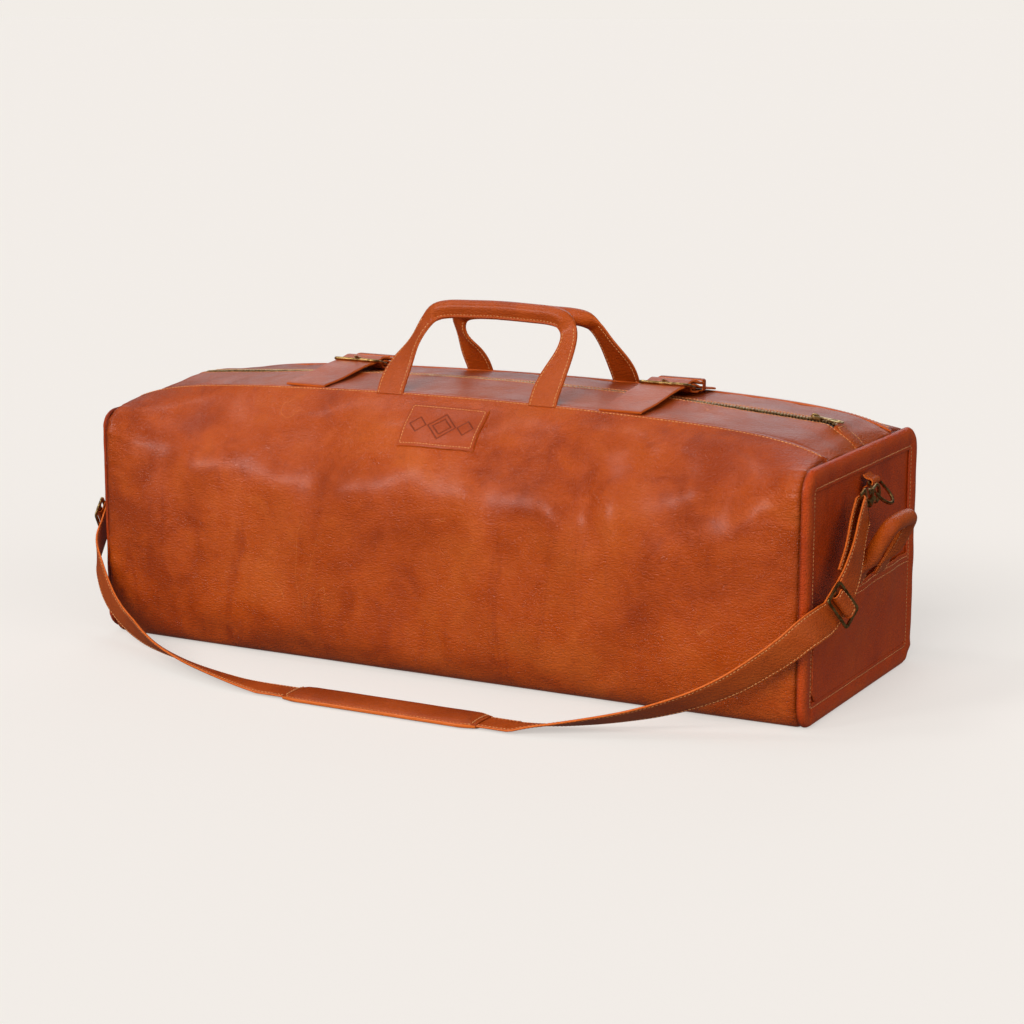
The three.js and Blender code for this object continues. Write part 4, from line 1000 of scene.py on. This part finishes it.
def build_handle(name, origin, along, up, leg, height, foot, grip, body, nodes, lean=0.0, twist=0.0,
                 rolled=(0.84, 0.965)):
    """A handle in its own plane: along runs with the grip and up rises from the feet."""
    along, up = unit(np.asarray(along, float)), unit(np.asarray(up, float))
    normal = np.cross(up, along)
    whole = HANDLE_ROUTE + [(-a, b) for a, b in HANDLE_ROUTE[-2::-1]]
    route = spline([(a * leg, b * height) for a, b in whole], HANDLE_RINGS)
    rise = np.maximum(route[:, 1] / height, 0)
    side_ = route[:, 0] / leg
    route = np.stack([route[:, 0] + lean * smooth(rise, 0.0, 0.85), route[:, 1]], 1)
    points = np.asarray(origin, float) + route[:, :1] * along + route[:, 1:] * up
    tangents = unit(np.gradient(points, axis=0))
    across = unit(np.cross(np.broadcast_to(normal, tangents.shape), tangents))
    if np.dot(across[len(across) // 2], up) < 0:
        across = -across
    turn = (math.radians(twist) * bump(rise, 0.62, 0.26) * np.where(side_ < 0, 1.0, -0.3))[:, None]
    flat_across = across
    across = flat_across * np.cos(turn) + normal * np.sin(turn)
    out = normal * np.cos(turn) - flat_across * np.sin(turn)
    width = mix(foot, grip * 1.45, smooth(rise, 0.08, 0.86))
    amount = smooth(rise, *rolled)
    radius, flange = grip * 0.66, grip * 0.42
    sections = np.array([roll_section(w, 3.8, radius, radius * 0.25, flange, m)
                         for w, m in zip(width, amount)])
    flat_edge = np.abs(np.cos(2 * math.pi * (np.arange(ROLL_POINTS) + 0.5) / ROLL_POINTS)) > 0.93
    tone = np.where(flat_edge[None], (1 - amount)[:, None] * 0.9, 0.0)
    flange_edge = slice(ROLL_POINTS // 2 - 1, ROLL_POINTS // 2 + 1)
    tone[:, flange_edge] = np.maximum(tone[:, flange_edge], 0.8)
    rings = points[:, None] + sections[..., :1] * across[:, None] + sections[..., 1:] * out[:, None]
    total = HANDLE_RINGS * ROLL_POINTS
    faces = grid_faces(HANDLE_RINGS, ROLL_POINTS, wrap=True)
    faces += [list(range(ROLL_POINTS)), list(range(total - ROLL_POINTS, total))[::-1]]
    obj = make(name, rings.reshape(-1, 3), faces, STRAP, tone.ravel())
    place(obj, body, "leather_strap", *nodes)
    riders.setdefault(body, lambda o, b=body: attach(o, b))
    legs = rise < rolled[0] + 0.02
    for face in (-1, 1):
        for edge in (-1, 1):
            line = points + across * (edge * (width / 2 - 2.8))[:, None] + out * (face * 1.95)
            for half in (route[:, 0] < 0, route[:, 0] > 0):
                chosen = legs & half
                stitch(body, line[chosen], out[chosen] * face, 4.0)
        grip_part = rise > rolled[1] - 0.1
        line = points - across * (radius * 0.47 + flange * 0.55) + out * (face * 2.0)
        stitch(body, line[grip_part], np.tile(normal * face, (grip_part.sum(), 1)), 4.0)


def build_end_handle(s, end):
    tilt = math.radians(28)
    up = (s * math.sin(tilt), 0, math.cos(tilt))
    name = "end_handle_" + end
    build_handle(name + "_leather", (s * 436.8, 0, 126), (0, 1, 0), up, 35, 73, 29, 13.5, name,
                 [name + "_strap", name + "_grip"], rolled=(0.18, 0.5))


# ---------- D-rings, hooks and adjusters ----------
RING_BAR = np.array([440.0, 0, 231.0])
RING_DOWN = unit(np.array([1.0, 0, -1.0]))
HOOK_CENTRE = RING_BAR + RING_DOWN * 13.5 - np.array([0, 15.0, 0])
SLOPE = math.radians(18)
FORWARD = np.array([0, math.cos(SLOPE), math.sin(SLOPE)])
ABOVE = np.array([0, -math.sin(SLOPE), math.cos(SLOPE)])
OUTWARD = np.array([1.0, 0, 0])
MIRROR = {"right": np.array([1.0, 1, 1]), "left": np.array([-1.0, 1, 1])}


def in_hook(x, y, z):
    return HOOK_CENTRE + OUTWARD * x + FORWARD * y + ABOVE * z


def turned(name, profile, start, axis, material, count=20):
    """A turned part: profile holds (distance along the axis, radius) pairs."""
    axis = unit(np.asarray(axis, float))
    side = unit(np.cross(axis, (0.3, 0.1, 1.0)))
    centres = np.array([np.asarray(start, float) + axis * d for d, _ in profile])
    sections = np.array([circle(r, count) for _, r in profile])
    across = np.tile(side, (len(profile), 1))
    return loft(name, centres, across, np.tile(np.cross(axis, side), (len(profile), 1)), sections, material)


def build_ring(end):
    m = MIRROR[end]
    arc = [(15 * math.cos(a), 15 + 15 * math.sin(a)) for a in np.linspace(0, math.pi, 28)]
    corner = [(15 - 2.6 + 2.6 * math.cos(a), -0.2 + 2.6 + 2.6 * math.sin(a))
              for a in np.linspace(-math.pi / 2, 0, 6)]
    loop = [(0, -0.2)] + corner + [(15, 8)] + arc + [(-15, 8)] + [(-a, b) for a, b in corner[::-1]]
    loop = spline(loop, 90, closed=True)
    path = np.array([RING_BAR + np.array([0, a, 0]) + RING_DOWN * b for a, b in loop]) * m
    ring = wire("d_ring_brass_" + end, path, 1.85, BRASS, closed=True, hint=RING_DOWN[[2, 1, 0]] * (-m))
    place(ring, "d_ring_" + end, "antique_brass", "d_ring_" + end)
    around = [(440 + 3.7 * math.cos(a), 231 + 3.7 * math.sin(a)) for a in np.linspace(-1.75, 1.75, 12)]
    route = [(431.6, 209), (432.0, 216), (433.8, 223), (436.6, 226.6)] + around
    route += [(436.2, 235.6), (433, 238.6)]
    points = np.array([(x, 0, z) for x, z in spline(route, 60)]) * m
    tab = strap("d_ring_tab_leather_" + end, points, (0, 1, 0), 22, 1.9, STRAP, tip=(5, 0), both=True,
                key="bag", cover=(0, 0.34), groove=2.4)
    place(tab, "bag", "leather_strap", "d_ring_tab_" + end)


def build_hook(end):
    m = MIRROR[end]
    bow = [in_hook(0, 8.8 * math.cos(a), 8.8 * math.sin(a)) for a in np.radians(np.linspace(172, 430, 44))]
    stem = [in_hook(0, y, z) for y, z in ((-16, 0.2), (-12.5, 0.1), (-10.2, 0.3))]
    arc = wire("hook_bow_" + end, spline(stem + bow, 64) * m, 2.0, BRASS, hint=(1, 0, 0))
    collar = [(-24.4, 2.6), (-24.2, 3.9), (-23.6, 4.4), (-21.4, 4.5), (-20.7, 4.0), (-20.2, 3.7),
              (-16.5, 3.6), (-14.2, 3.8), (-12.2, 4.3), (-10.6, 4.2), (-9.4, 3.2), (-8.8, 2.2)]
    body = turned("hook_collar_" + end, collar, HOOK_CENTRE * m, FORWARD, BRASS)
    lug_loop = rounded_rectangle(2.2, 4.4, 1.6, 4)
    lug = flat_part("hook_lug_" + end, [lug_loop], 4.4, 1.2, in_hook(0, -11.6, 7.2) * m,
                    FORWARD, ABOVE, BRASS)
    hook = joined("snap_hook_brass_" + end, arc, body, lug)
    place(hook, "snap_hook_" + end, "antique_brass", "snap_hook_" + end)
    rod = turned("hook_rod_" + end, [(-19, 0.8), (-18.6, 1.5), (1.0, 1.5), (1.9, 1.0)],
                 in_hook(0, 0, 8.8) * m, FORWARD, BRIGHT, 12)
    knob = turned("hook_knob_" + end, [(9, 1.3), (11.4, 1.3), (12.0, 2.0), (13.2, 2.2), (14.0, 1.4)],
                  in_hook(0, -16.6, 0) * m, ABOVE, BRIGHT, 14)
    place(joined("hook_bolt_brass_" + end, rod, knob), "hook_bolt_" + end, "bright_brass", "hook_bolt_" + end)
    outer, hole = rounded_rectangle(7.9, 21.2, 3.6), rounded_rectangle(4.3, 17.6, 1.8)
    loop = flat_part("eye_loop_" + end, [outer, hole], 3.4, 1.3, in_hook(0, -35.1, 0) * m,
                     FORWARD, ABOVE, BRASS)
    pin = turned("eye_pin_" + end, [(-28.6, 2.4), (-27.2, 2.2), (-24, 2.0), (-18, 2.0)], HOOK_CENTRE * m,
                 FORWARD, BRASS)
    place(joined("hook_eye_brass_" + end, loop, pin), "shoulder_strap", "antique_brass", "hook_eye_" + end)


def adjuster_frame():
    """The adjuster's place on the right end's strap, with its width, length and outward axes."""
    along = unit(np.array(RIGHT_ROUTE[5][:3]) - np.array(RIGHT_ROUTE[3][:3]))
    across = np.array([-0.25, -0.62, 0.74])
    across = unit(across - along * np.dot(across, along))
    out = unit(np.cross(across, along))
    out = -out if out[0] < 0 else out
    return np.array(RIGHT_ROUTE[4][:3]) + out * 6.8, across, np.cross(out, across), out


def build_adjuster(end):
    m = MIRROR[end]
    centre, across, along, out = adjuster_frame()
    windows = [rounded_rectangle(19, 4.7, 1.6) + np.array([0, y]) for y in (-6.2, 6.2)]
    plate = flat_part("adjuster_brass_" + end, [rounded_rectangle(22.5, 14.5, 4.2)] + windows, 3.2, 1.2,
                      centre * m, across * m, along * m, BRASS)
    place(plate, "adjuster_" + end, "antique_brass", "adjuster_" + end)
    fold = [(-21, -3.6), (-15, -3.6), (-9, -3.4), (-4, -3.2), (0, -3.3), (3.3, -2.3), (4.3, 0), (3.3, 2.4),
            (0, 3.4), (-4, 3.2), (-9, 2.9)]
    points = np.array([centre + along * y + out * z for y, z in spline(fold, 50)]) * m
    loop = strap("strap_loop_leather_" + end, points, across * m, 33.5, 1.7, STRAP, tip=(0, 2),
                 key="adjuster_" + end, cover=(0.74, 1.0))
    riders["adjuster_" + end] = lambda obj, e=end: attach(obj, "adjuster_" + e)
    place(loop, "adjuster_" + end, "leather_strap", "strap_loop_" + end)


# ---------- shoulder strap and its pad ----------
# Stations of the strap from the right hook: the centre, then the direction across it.
RIGHT_TAIL = [
    (452.4, -104.5, 151.5, -0.2, -0.66, 0.72),
    (450.8, -90.0, 170.5, -0.05, -0.6, 0.8),
    (447.3, -71.0, 194.0, 0, -0.45, 0.89),
]
RIGHT_ROUTE = [
    (453.8, -54.2, 208.7, 0, -0.31, 0.95),
    (455.8, -70.0, 195.0, 0, -0.45, 0.89),
    (457.8, -88.0, 172.0, -0.05, -0.6, 0.8),
    (457.0, -106.0, 148.0, -0.2, -0.66, 0.72),
    (452.4, -127.0, 128.0, -0.25, -0.6, 0.76),
    (449.0, -140.0, 117.0, -0.26, -0.52, 0.81),
    (445.5, -158.0, 113.0, -0.32, -0.48, 0.82),
    (438.5, -175.0, 106.5, -0.4, -0.5, 0.76),
]
RIGHT_FLOOR = [
    (424, -185.5, 92, -0.38, -0.58, 0.72),
    (403, -193, 75, -0.31, -0.64, 0.7),
    (373, -204, 54, -0.14, -0.69, 0.71),
    (341, -218, 38, 0.05, -0.74, 0.67),
    (310, -232, 27, 0.15, -0.79, 0.6),
    (281, -246, 19.5, 0.18, -0.84, 0.5),
    (250, -259, 13.5, 0.18, -0.89, 0.42),
    (216, -273, 8.6, 0.12, -0.94, 0.3),
    (192, -282, 6.2, 0.04, -0.98, 0.18),
]
LEFT_FLOOR = [
    (-150, -285.5, 5, 0, -0.99, 0.1),
    (-175, -280, 6, 0, -0.97, 0.2),
    (-210, -270, 7.6, -0.05, -0.94, 0.3),
    (-245, -258, 9.4, -0.1, -0.9, 0.4),
    (-285, -242, 12.6, -0.12, -0.82, 0.54),
    (-320, -226, 16.5, -0.06, -0.68, 0.72),
    (-350, -212, 22.5, 0.05, -0.5, 0.86),
    (-377, -201, 32, 0.2, -0.42, 0.88),
    (-398, -193, 45, 0.33, -0.36, 0.87),
    (-413, -186, 59, 0.4, -0.32, 0.86),
    (-426, -178, 75, 0.36, -0.3, 0.88),
    (-436.5, -169, 90, 0.27, -0.3, 0.92),
    (-443.5, -157, 103, 0.2, -0.4, 0.88),
]
PAD_FROM, PAD_TO, PAD_Y, PAD_Z = -94.0, 138.0, -288.0, 3.8
CARRY_WIDTH, CARRY_LEATHER = 35.0, 2.6


def strap_route():
    """The whole strap as rows of centre and across, from one sewn end to the other."""
    bar = HOOK_CENTRE + FORWARD * -41.25
    across = (0, -FORWARD[2], FORWARD[1])
    fold = [(*(bar - OUTWARD * 4.2 * math.cos(a) + FORWARD * 4.2 * math.sin(a)), *across)
            for a in np.linspace(0, math.pi, 9)]
    flip = np.array([-1.0, 1, 1, -1, 1, 1])
    start = RIGHT_TAIL + fold[:-1]
    flat = [(172, PAD_Y, PAD_Z, 0, -1, 0), (-128, PAD_Y, PAD_Z, 0, -1, 0)]
    left = [tuple(np.array(row) * flip) for row in RIGHT_ROUTE[:6][::-1]]
    end = [tuple(np.array(row) * flip) for row in start[::-1]]
    half = spline(start + RIGHT_ROUTE + RIGHT_FLOOR + [flat[0]], 340)
    other = spline([flat[1]] + LEFT_FLOOR + left + end, 340)
    return np.concatenate([half, other])


def build_shoulder_strap():
    route = strap_route()
    points, across = route[:, :3], route[:, 3:]
    tangents = unit(np.gradient(points, axis=0))
    across = unit(across - tangents * np.sum(across * tangents, -1, keepdims=True))
    out = np.cross(tangents, across)
    section = strap_section(CARRY_WIDTH, CARRY_LEATHER, 2.6, both=True)
    obj = loft("shoulder_strap_leather", points, across, out, section, STRAP,
               edge_tones(section, CARRY_WIDTH))
    place(obj, "shoulder_strap", "leather_strap", "shoulder_strap")
    riders["shoulder_strap"] = lambda o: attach(o, "shoulder_strap")
    for edge in (-1, 1):
        for face in (-1, 1):
            beyond = across * (edge * (CARRY_WIDTH / 2 - 2.6))
            line = points + beyond + out * (face * (CARRY_LEATHER / 2 - 0.25))
            beside = (points[:, 0] < PAD_FROM) | (points[:, 0] > PAD_TO) | (points[:, 2] > 60)
            for part in np.split(np.arange(len(points)), np.flatnonzero(np.diff(beside.astype(int))) + 1):
                if beside[part[0]] and len(part) > 3:
                    stitch("shoulder_strap", line[part], face * out[part])


def build_pad():
    near_end = np.array([0, 0.5, 1.5, 3, 5, 8, 12])
    middle = np.linspace(PAD_FROM + 16, PAD_TO - 16, 50)
    xs = np.concatenate([PAD_FROM + near_end, middle, PAD_TO - near_end[::-1]])
    ends = np.minimum(xs - PAD_FROM, PAD_TO - xs)
    half = mix(20.2, 24.0, smooth(ends, 0, 18)) - 1.6 * np.exp(-ends / 0.9)
    top = [(1.0, 0.0), (0.99, 1.5), (0.965, 2.1), (0.93, 2.2), (0.895, 1.75), (0.86, 2.2), (0.8, 3.1),
           (0.66, 4.3), (0.4, 5.1), (0.0, 5.4)]
    under = [(0.99, -1.4), (0.95, -2.2), (0.895, -2.3), (0.8, -3.0), (0.6, -3.6), (0.3, -3.75), (0.0, -3.78)]
    half_loop = top[::-1] + under
    loop = np.array(half_loop + [(-a, b) for a, b in half_loop[-2:0:-1]])
    outer = np.repeat(loop[None], len(xs), 0)
    outer[..., 0] *= half[:, None]
    soft = mix(0.55, 1.0, smooth(ends, 0, 14))
    plump = 1 + 0.05 * waves(xs / 60, xs * 0, 91)
    outer[..., 1] *= np.where(outer[..., 1] > 0, (soft * plump)[:, None], 1.0)
    inner = np.stack([np.clip(loop[:, 0] * 19, -18.3, 18.3), np.clip(loop[:, 1] * 0.6, -1.7, 1.7)], 1)
    tone = np.where(np.abs(loop[:, 0]) > 0.985, 1.0, np.where(loop[:, 1] > 2.2, -0.12, 0.0))
    centres = np.stack([xs, np.full_like(xs, PAD_Y), np.full_like(xs, PAD_Z)], 1)
    across, out = np.tile([0, 1.0, 0], (len(xs), 1)), np.tile([0, 0, 1.0], (len(xs), 1))
    pad = sleeve("shoulder_pad_leather", centres, across, out, outer, inner, STRAP, tone)
    place(pad, "shoulder_pad", "leather_strap", "shoulder_pad")
    riders["shoulder_pad"] = lambda o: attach(o, "shoulder_pad")
    for edge in (-1, 1):
        line = centres + across * (edge * half * 0.895)[:, None] + out * 1.72
        stitch("shoulder_pad", line[4:-4], out[4:-4])
    for x in (PAD_FROM + 4.5, PAD_TO - 4.5):
        ys = np.linspace(-17, 17, 20)
        arch = 1.9 + 2.2 * np.clip(1 - (ys / 19) ** 2, 0, 1) ** 0.7
        stitch("shoulder_pad", np.stack([np.full(20, x), PAD_Y + ys, PAD_Z + arch], 1),
               np.tile([0, 0, 1.0], (20, 1)))


# ---------- patch and lining ----------
PATCH_HALF, PATCH_TOP, PATCH_FOOT, PATCH_ROUND = 47, 0.1, 0.42, 5


def build_patch():
    us, vs = np.linspace(-PATCH_HALF, PATCH_HALF, 150), np.linspace(PATCH_TOP, PATCH_FOOT, 80)
    U, V = np.meshgrid(us, vs, indexing="ij")
    grid, normal = side_surface(U, V, -1)
    down = np.concatenate([[0], np.cumsum(np.linalg.norm(np.diff(grid[len(us) // 2], axis=0), axis=1))])
    tall = down[-1]
    D = np.broadcast_to(down, U.shape) - tall / 2
    aside = np.clip(np.abs(U) - (PATCH_HALF - PATCH_ROUND), 0, None)
    beyond = np.clip(np.abs(D) - (tall / 2 - PATCH_ROUND), 0, None)
    corner = aside**2 + beyond**2
    lift = 2.6 - 0.7 * smooth(np.sqrt(corner), 3.2, 5)
    def diamond(centre, wide, high):
        reach = np.abs(U - centre) / wide + np.abs(D) / high
        return np.exp(-(((reach - 1) * wide) / 0.9) ** 2)
    mark = diamond(0, 17, 16) + diamond(0, 11, 10) + diamond(-29, 10, 9.5) + diamond(29, 10, 9.5)
    mark = np.clip(mark, 0, 1)
    lift = lift - 0.45 * mark
    edge = np.minimum(PATCH_HALF - np.abs(U), tall / 2 - np.abs(D))
    lift = lift - 0.25 * bump(edge, 3.0, 0.8)
    grid = grid + normal * lift[..., None]
    tone = -0.9 * mark
    obj = leather_sheet("patch_leather", grid, 2.2, PATCH, (0, -1, 0.6), tone)
    place(obj, "bag", "leather_patch", "patch")
    inset = 3.0
    u, inset_v = PATCH_HALF - inset, inset / tall * 0.32
    high, low = PATCH_TOP + inset_v, PATCH_FOOT - inset_v
    border = [(-u, high), (u, high), (u, low), (-u, low)]
    for a, b in zip(border, border[1:] + border[:1]):
        t = np.linspace(0, 1, 40)
        points, n = side_surface(mix(a[0], b[0], t), mix(a[1], b[1], t), -1)
        stitch("bag", points + n * 2.45, n, 3.6)


LINING_HALF, LINING_GAP = 416, 14.0


def build_lining():
    zs = np.concatenate([[258.5, 258, 257], np.linspace(254, 20, 44), [14, 10.5, 9]])
    count = 260
    def loop_at(z, inset):
        t = np.linspace(0.02, 1.98, 80)
        points = []
        for i in range(count):
            a = 2 * math.pi * (i + 0.5) / count
            c, s = math.cos(a), math.sin(a)
            reach = (abs(c) ** 9 + abs(s) ** 9) ** (-1 / 9)
            x = LINING_HALF * reach * c
            side = side_point(x, t, 1)
            wall = np.interp(z, side[::-1, 2], side[::-1, 1])
            fold = 1.6 * float(waves(np.array(a * 9.0), np.array(z / 120), 95)) * float(smooth(z, 8, 60))
            y = np.sign(s) * min(abs(LINING_HALF * reach * s), wall - LINING_GAP - abs(fold))
            points.append((x - np.sign(x) * (3 + inset + 0.5 * abs(fold)), y - np.sign(y) * inset, z))
        return points
    outer = np.array([loop_at(z, 0) for z in zs])
    inner = np.array([loop_at(max(z, 10.4), 1.2) for z in zs])
    points = np.concatenate([outer.reshape(-1, 3), inner.reshape(-1, 3)])
    rows, total = len(zs), len(zs) * count
    faces = grid_faces(rows, count, wrap=True) + grid_faces(rows, count, wrap=True, start=total, flip=True)
    for j in range(count):
        k = (j + 1) % count
        faces.append([k, j, total + j, total + k])
    last = (rows - 1) * count
    faces += [list(range(last, last + count)), list(range(total + last, total + last + count))[::-1]]
    cloth = make("lining_cloth", points, faces, COTTON)
    place(cloth, "bag", "cotton_lining", "lining")


build_top()
build_slider()
build_patch()
build_lining()
for x, end in ((STRAP_X, "right"), (-STRAP_X, "left")):
    build_top_strap(x, end)
for side, name, shift, height, tilt, drift in ((-1, "front", 11, 98, 28, 17), (1, "back", 15, 84, 31, -13)):
    lean = math.radians(tilt)
    build_handle(f"handle_{name}_leather", (shift, side * SEAM_Y, 302.6), (1, 0, 0),
                 (0, -side * math.sin(lean), math.cos(lean)), 94, height, 33, 13.4, "handle_" + name,
                 [f"handle_{name}_strap", f"handle_{name}_grip"], lean=drift, twist=30)
for end, s in (("right", 1), ("left", -1)):
    build_end(s, end)
    build_end_handle(s, end)
    build_ring(end)
    build_hook(end)
    build_adjuster(end)
build_shoulder_strap()
build_pad()


# ---------- floor, light and camera ----------
def build_floor():
    g = Graph("floor_look", roughness=0.9)
    g.shader.inputs["Base Color"].default_value = FLOOR_COLOUR
    g.shader.inputs["Specular IOR Level"].default_value = 0.0
    g.shader.inputs["Emission Color"].default_value = BACKDROP
    g.shader.inputs["Emission Strength"].default_value = FLOOR_GLOW
    bpy.ops.mesh.primitive_plane_add(size=FLOOR_SIZE)
    floor = bpy.context.object
    floor.name = "floor"
    floor.data.materials.append(g.material)
    floor.visible_glossy = False
    floor.visible_diffuse = False


def build_light():
    world = bpy.data.worlds.new("studio")
    bpy.context.scene.world = world
    world.use_nodes = True
    tree = world.node_tree
    background = tree.nodes["Background"]
    path = tree.nodes.new("ShaderNodeLightPath")
    colour = REFLECTED
    for output, other in (("Is Diffuse Ray", AMBIENT), ("Is Camera Ray", BACKDROP)):
        choose = tree.nodes.new("ShaderNodeMix")
        choose.data_type = "RGBA"
        tree.links.new(path.outputs[output], choose.inputs[0])
        if colour is REFLECTED:
            choose.inputs[6].default_value = colour
        else:
            tree.links.new(colour, choose.inputs[6])
        choose.inputs[7].default_value = other
        colour = choose.outputs[2]
    tree.links.new(colour, background.inputs["Color"])
    for name, direction, strength, spread, colour, reflected in SUNS:
        light = bpy.data.lights.new(name, "SUN")
        light.energy = strength
        light.angle = math.radians(spread)
        light.color = colour
        obj = bpy.data.objects.new(name, light)
        obj.rotation_euler = Vector(direction).to_track_quat("Z", "Y").to_euler()
        obj.visible_glossy = reflected
        bpy.context.scene.collection.objects.link(obj)


def build_camera():
    data = bpy.data.cameras.new("camera")
    data.lens = LENS
    data.sensor_width = SENSOR
    data.clip_end = FAR
    camera = bpy.data.objects.new("camera", data)
    camera.location = CAMERA_AT
    aim = Vector(CAMERA_AIM) - camera.location
    camera.rotation_euler = aim.to_track_quat("-Z", "Y").to_euler()
    bpy.context.scene.collection.objects.link(camera)
    bpy.context.scene.camera = camera


# The camera's lens and sensor in millimetres, and its other lengths in metres.
LENS, SENSOR, FAR = 86.13, 36, 500
CAMERA_AT, CAMERA_AIM = (1.29009, -2.37788, 0.70888), (0.0155, 0, 0.157)
BACKDROP = srgb(242, 237, 231)
AMBIENT = [0.20, 0.19, 0.19, 1]
REFLECTED = [0.07, 0.065, 0.065, 1]
FLOOR_COLOUR = [0.42, 0.41, 0.40, 1]
FLOOR_GLOW = 0.57
FLOOR_SIZE = 400  # metres
# Each light: direction towards it, strength, spread in degrees, colour, seen in reflections.
SUNS = (
    ("key", (0.05, -0.84, 0.54), 1.98, 30, (1.0, 0.97, 0.92), False),
    ("glint", (-0.46, -0.76, 0.42), 0.68, 12, (1.0, 0.98, 0.95), True),
    ("softbox", (-0.48, -0.22, 0.84), 0.27, 12, (1.0, 0.98, 0.96), True),
    ("overhead", (-0.30, 0.30, 0.90), 0.22, 40, (0.96, 0.96, 1.0), True),
    ("fill", (0.90, -0.30, 0.35), 0.85, 60, (1.0, 0.98, 0.95), False),
    ("rim", (-0.35, 0.85, 0.42), 0.42, 40, (0.95, 0.95, 1.0), True),
)
build_floor()
build_light()
build_camera()
bpy.context.scene.view_settings.view_transform = "Standard"

finish_threads(THREAD, riders)
